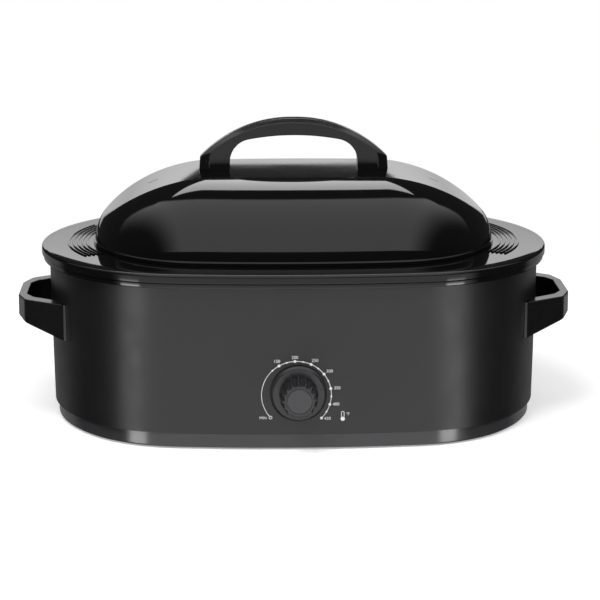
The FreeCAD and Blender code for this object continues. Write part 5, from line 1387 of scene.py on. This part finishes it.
def make_table():
    """A pale round tabletop that keeps the shadow."""
    made = turned("tabletop", ((TABLE_RADIUS, 0.0), (TABLE_RADIUS, -TABLE_THICK)), 128)
    pale = bpy.data.materials.new("Matt White Laminate")
    pale.use_nodes = True
    tree = pale.node_tree
    tree.nodes.clear()
    ray = add(tree, "ShaderNodeLightPath")
    matt = add(tree, "ShaderNodeBsdfDiffuse", {"Color": paint("F2F2F2")})
    lift = add(tree, "ShaderNodeMath", {0: ray.outputs["Is Camera Ray"], 1: TABLE_GLOW}, operation="MULTIPLY")
    glow = add(tree, "ShaderNodeEmission", {"Strength": lift.outputs[0]})
    both = add(tree, "ShaderNodeAddShader", {0: matt.outputs[0], 1: glow.outputs[0]})
    add(tree, "ShaderNodeOutputMaterial", {0: both.outputs[0]})
    made.data.materials.append(pale)
    made.visible_glossy = False


# The lit card: how far behind the cooker's middle it stands, half its width, its lower and upper edge, its
# thickness, how far below its upper edge it starts to brighten, and its brightness there and at the top.
CARD_BEHIND, CARD_HALF, CARD_LOW, CARD_HIGH, CARD_THICK = 0.71, 0.52, 0.165, 0.378, 0.002
CARD_FADE, CARD_DIM, CARD_BRIGHT = 0.1, 0.75, 1.2


def make_card():
    """A lit card behind the cooker, brighter towards its top, which only glossy surfaces see."""
    near, far = MIDDLE + CARD_BEHIND, MIDDLE + CARD_BEHIND + CARD_THICK
    corners = ((-CARD_HALF, near), (CARD_HALF, near), (CARD_HALF, far), (-CARD_HALF, far))
    made = bar("white_card", [[(x, y, z) for x, y in corners] for z in (CARD_LOW, CARD_HIGH)])
    glow = bpy.data.materials.new("Lit Card")
    glow.use_nodes = True
    tree = glow.node_tree
    tree.nodes.clear()
    place = add(tree, "ShaderNodeTexCoord")
    apart = add(tree, "ShaderNodeSeparateXYZ", {0: place.outputs["Object"]})
    level = add(tree, "ShaderNodeMapRange", {
        "Value": apart.outputs[2], "From Min": CARD_HIGH - CARD_FADE, "From Max": CARD_HIGH,
        "To Min": CARD_DIM, "To Max": CARD_BRIGHT})
    shine = add(tree, "ShaderNodeEmission", {"Strength": level.outputs[0]})
    add(tree, "ShaderNodeOutputMaterial", {0: shine.outputs[0]})
    made.data.materials.append(glow)
    made.visible_camera = made.visible_diffuse = made.visible_shadow = made.visible_transmission = False


# Each lamp's name, place, size and power, and the spot over the table that both aim at.
LAMPS = (("Key Light", (-0.7, -1.5, 2.3), 1.6, 52), ("Side Light", (1.6, -0.9, 1.5), 1.4, 16))
LAMP_AIM = Vector((0, 0, 0.1))
# The camera's place from the cooker's middle, how far it looks down and to the right in degrees, its lens and
# sensor in millimetres, and the nearest and furthest that it sees.
CAMERA_SPOT = (-0.075, -2.7531, 0.7023)
CAMERA_DOWN, CAMERA_RIGHT = 11.889, 1.711
CAMERA_LENS, CAMERA_SENSOR = 150.36, 36
CAMERA_NEAR, CAMERA_FAR = 0.05, 50


def make_lamp(name, spot, size, power):
    """A soft round lamp that glossy surfaces don't see."""
    light = bpy.data.lights.new(name, "AREA")
    light.shape, light.size, light.energy = "DISK", size, power
    made = linked(name, light)
    made.location = spot
    made.rotation_euler = (LAMP_AIM - Vector(spot)).to_track_quat("-Z", "Y").to_euler()
    made.visible_glossy = False


def make_camera():
    """The camera, in front of the cooker and a little above it."""
    camera = linked("Camera", bpy.data.cameras.new("Camera"))
    camera.data.sensor_width, camera.data.lens = CAMERA_SENSOR, CAMERA_LENS
    camera.data.clip_start, camera.data.clip_end = CAMERA_NEAR, CAMERA_FAR
    camera.location = Vector(CAMERA_SPOT) + Vector((0, MIDDLE, 0))
    camera.rotation_euler = Euler(map(math.radians, (90 - CAMERA_DOWN, 0, -CAMERA_RIGHT)))
    bpy.context.scene.camera = camera


class ROASTER_OT_studio(bpy.types.Operator):
    """Make the tabletop, the soft light and the camera"""
    bl_idname = "roaster.studio"
    bl_label = "Studio"

    def execute(self, context):
        context.scene.view_settings.view_transform = "Standard"
        make_world()
        make_table()
        make_card()
        for lamp in LAMPS:
            make_lamp(*lamp)
        make_camera()
        return {"FINISHED"}


# ---------------------------------------------------------------- panel and run

OPERATORS = (ROASTER_OT_studio, ROASTER_OT_pan, ROASTER_OT_housing, ROASTER_OT_side_handles, ROASTER_OT_lid,
             ROASTER_OT_knob, ROASTER_OT_scale, ROASTER_OT_rack, ROASTER_OT_inner_pieces)


class ROASTER_PT_panel(bpy.types.Panel):
    """Lists the operators and the settings"""
    bl_idname = "ROASTER_PT_panel"
    bl_label = "Roaster Oven"
    bl_space_type = "VIEW_3D"
    bl_region_type = "UI"
    bl_category = "Roaster"

    def draw(self, context):
        for operator in OPERATORS:
            self.layout.operator(operator.bl_idname)
        for key, group in SETTINGS.items():
            box = self.layout.box()
            box.label(text=key.title())
            for name in group.__annotations__:
                box.prop(sizes(key), name)


CLASSES = tuple(SETTINGS.values()) + OPERATORS + (ROASTER_PT_panel,)


def register():
    for made in CLASSES:
        bpy.utils.register_class(made)
    for key, group in SETTINGS.items():
        setattr(bpy.types.Scene, "roaster_" + key, PointerProperty(type=group))


def unregister():
    for key in SETTINGS:
        delattr(bpy.types.Scene, "roaster_" + key)
    for made in reversed(CLASSES):
        bpy.utils.unregister_class(made)


def main():
    register()
    for operator in OPERATORS:
        group, name = operator.bl_idname.split(".")
        getattr(getattr(bpy.ops, group), name)()


if __name__ == "__main__":
    main()
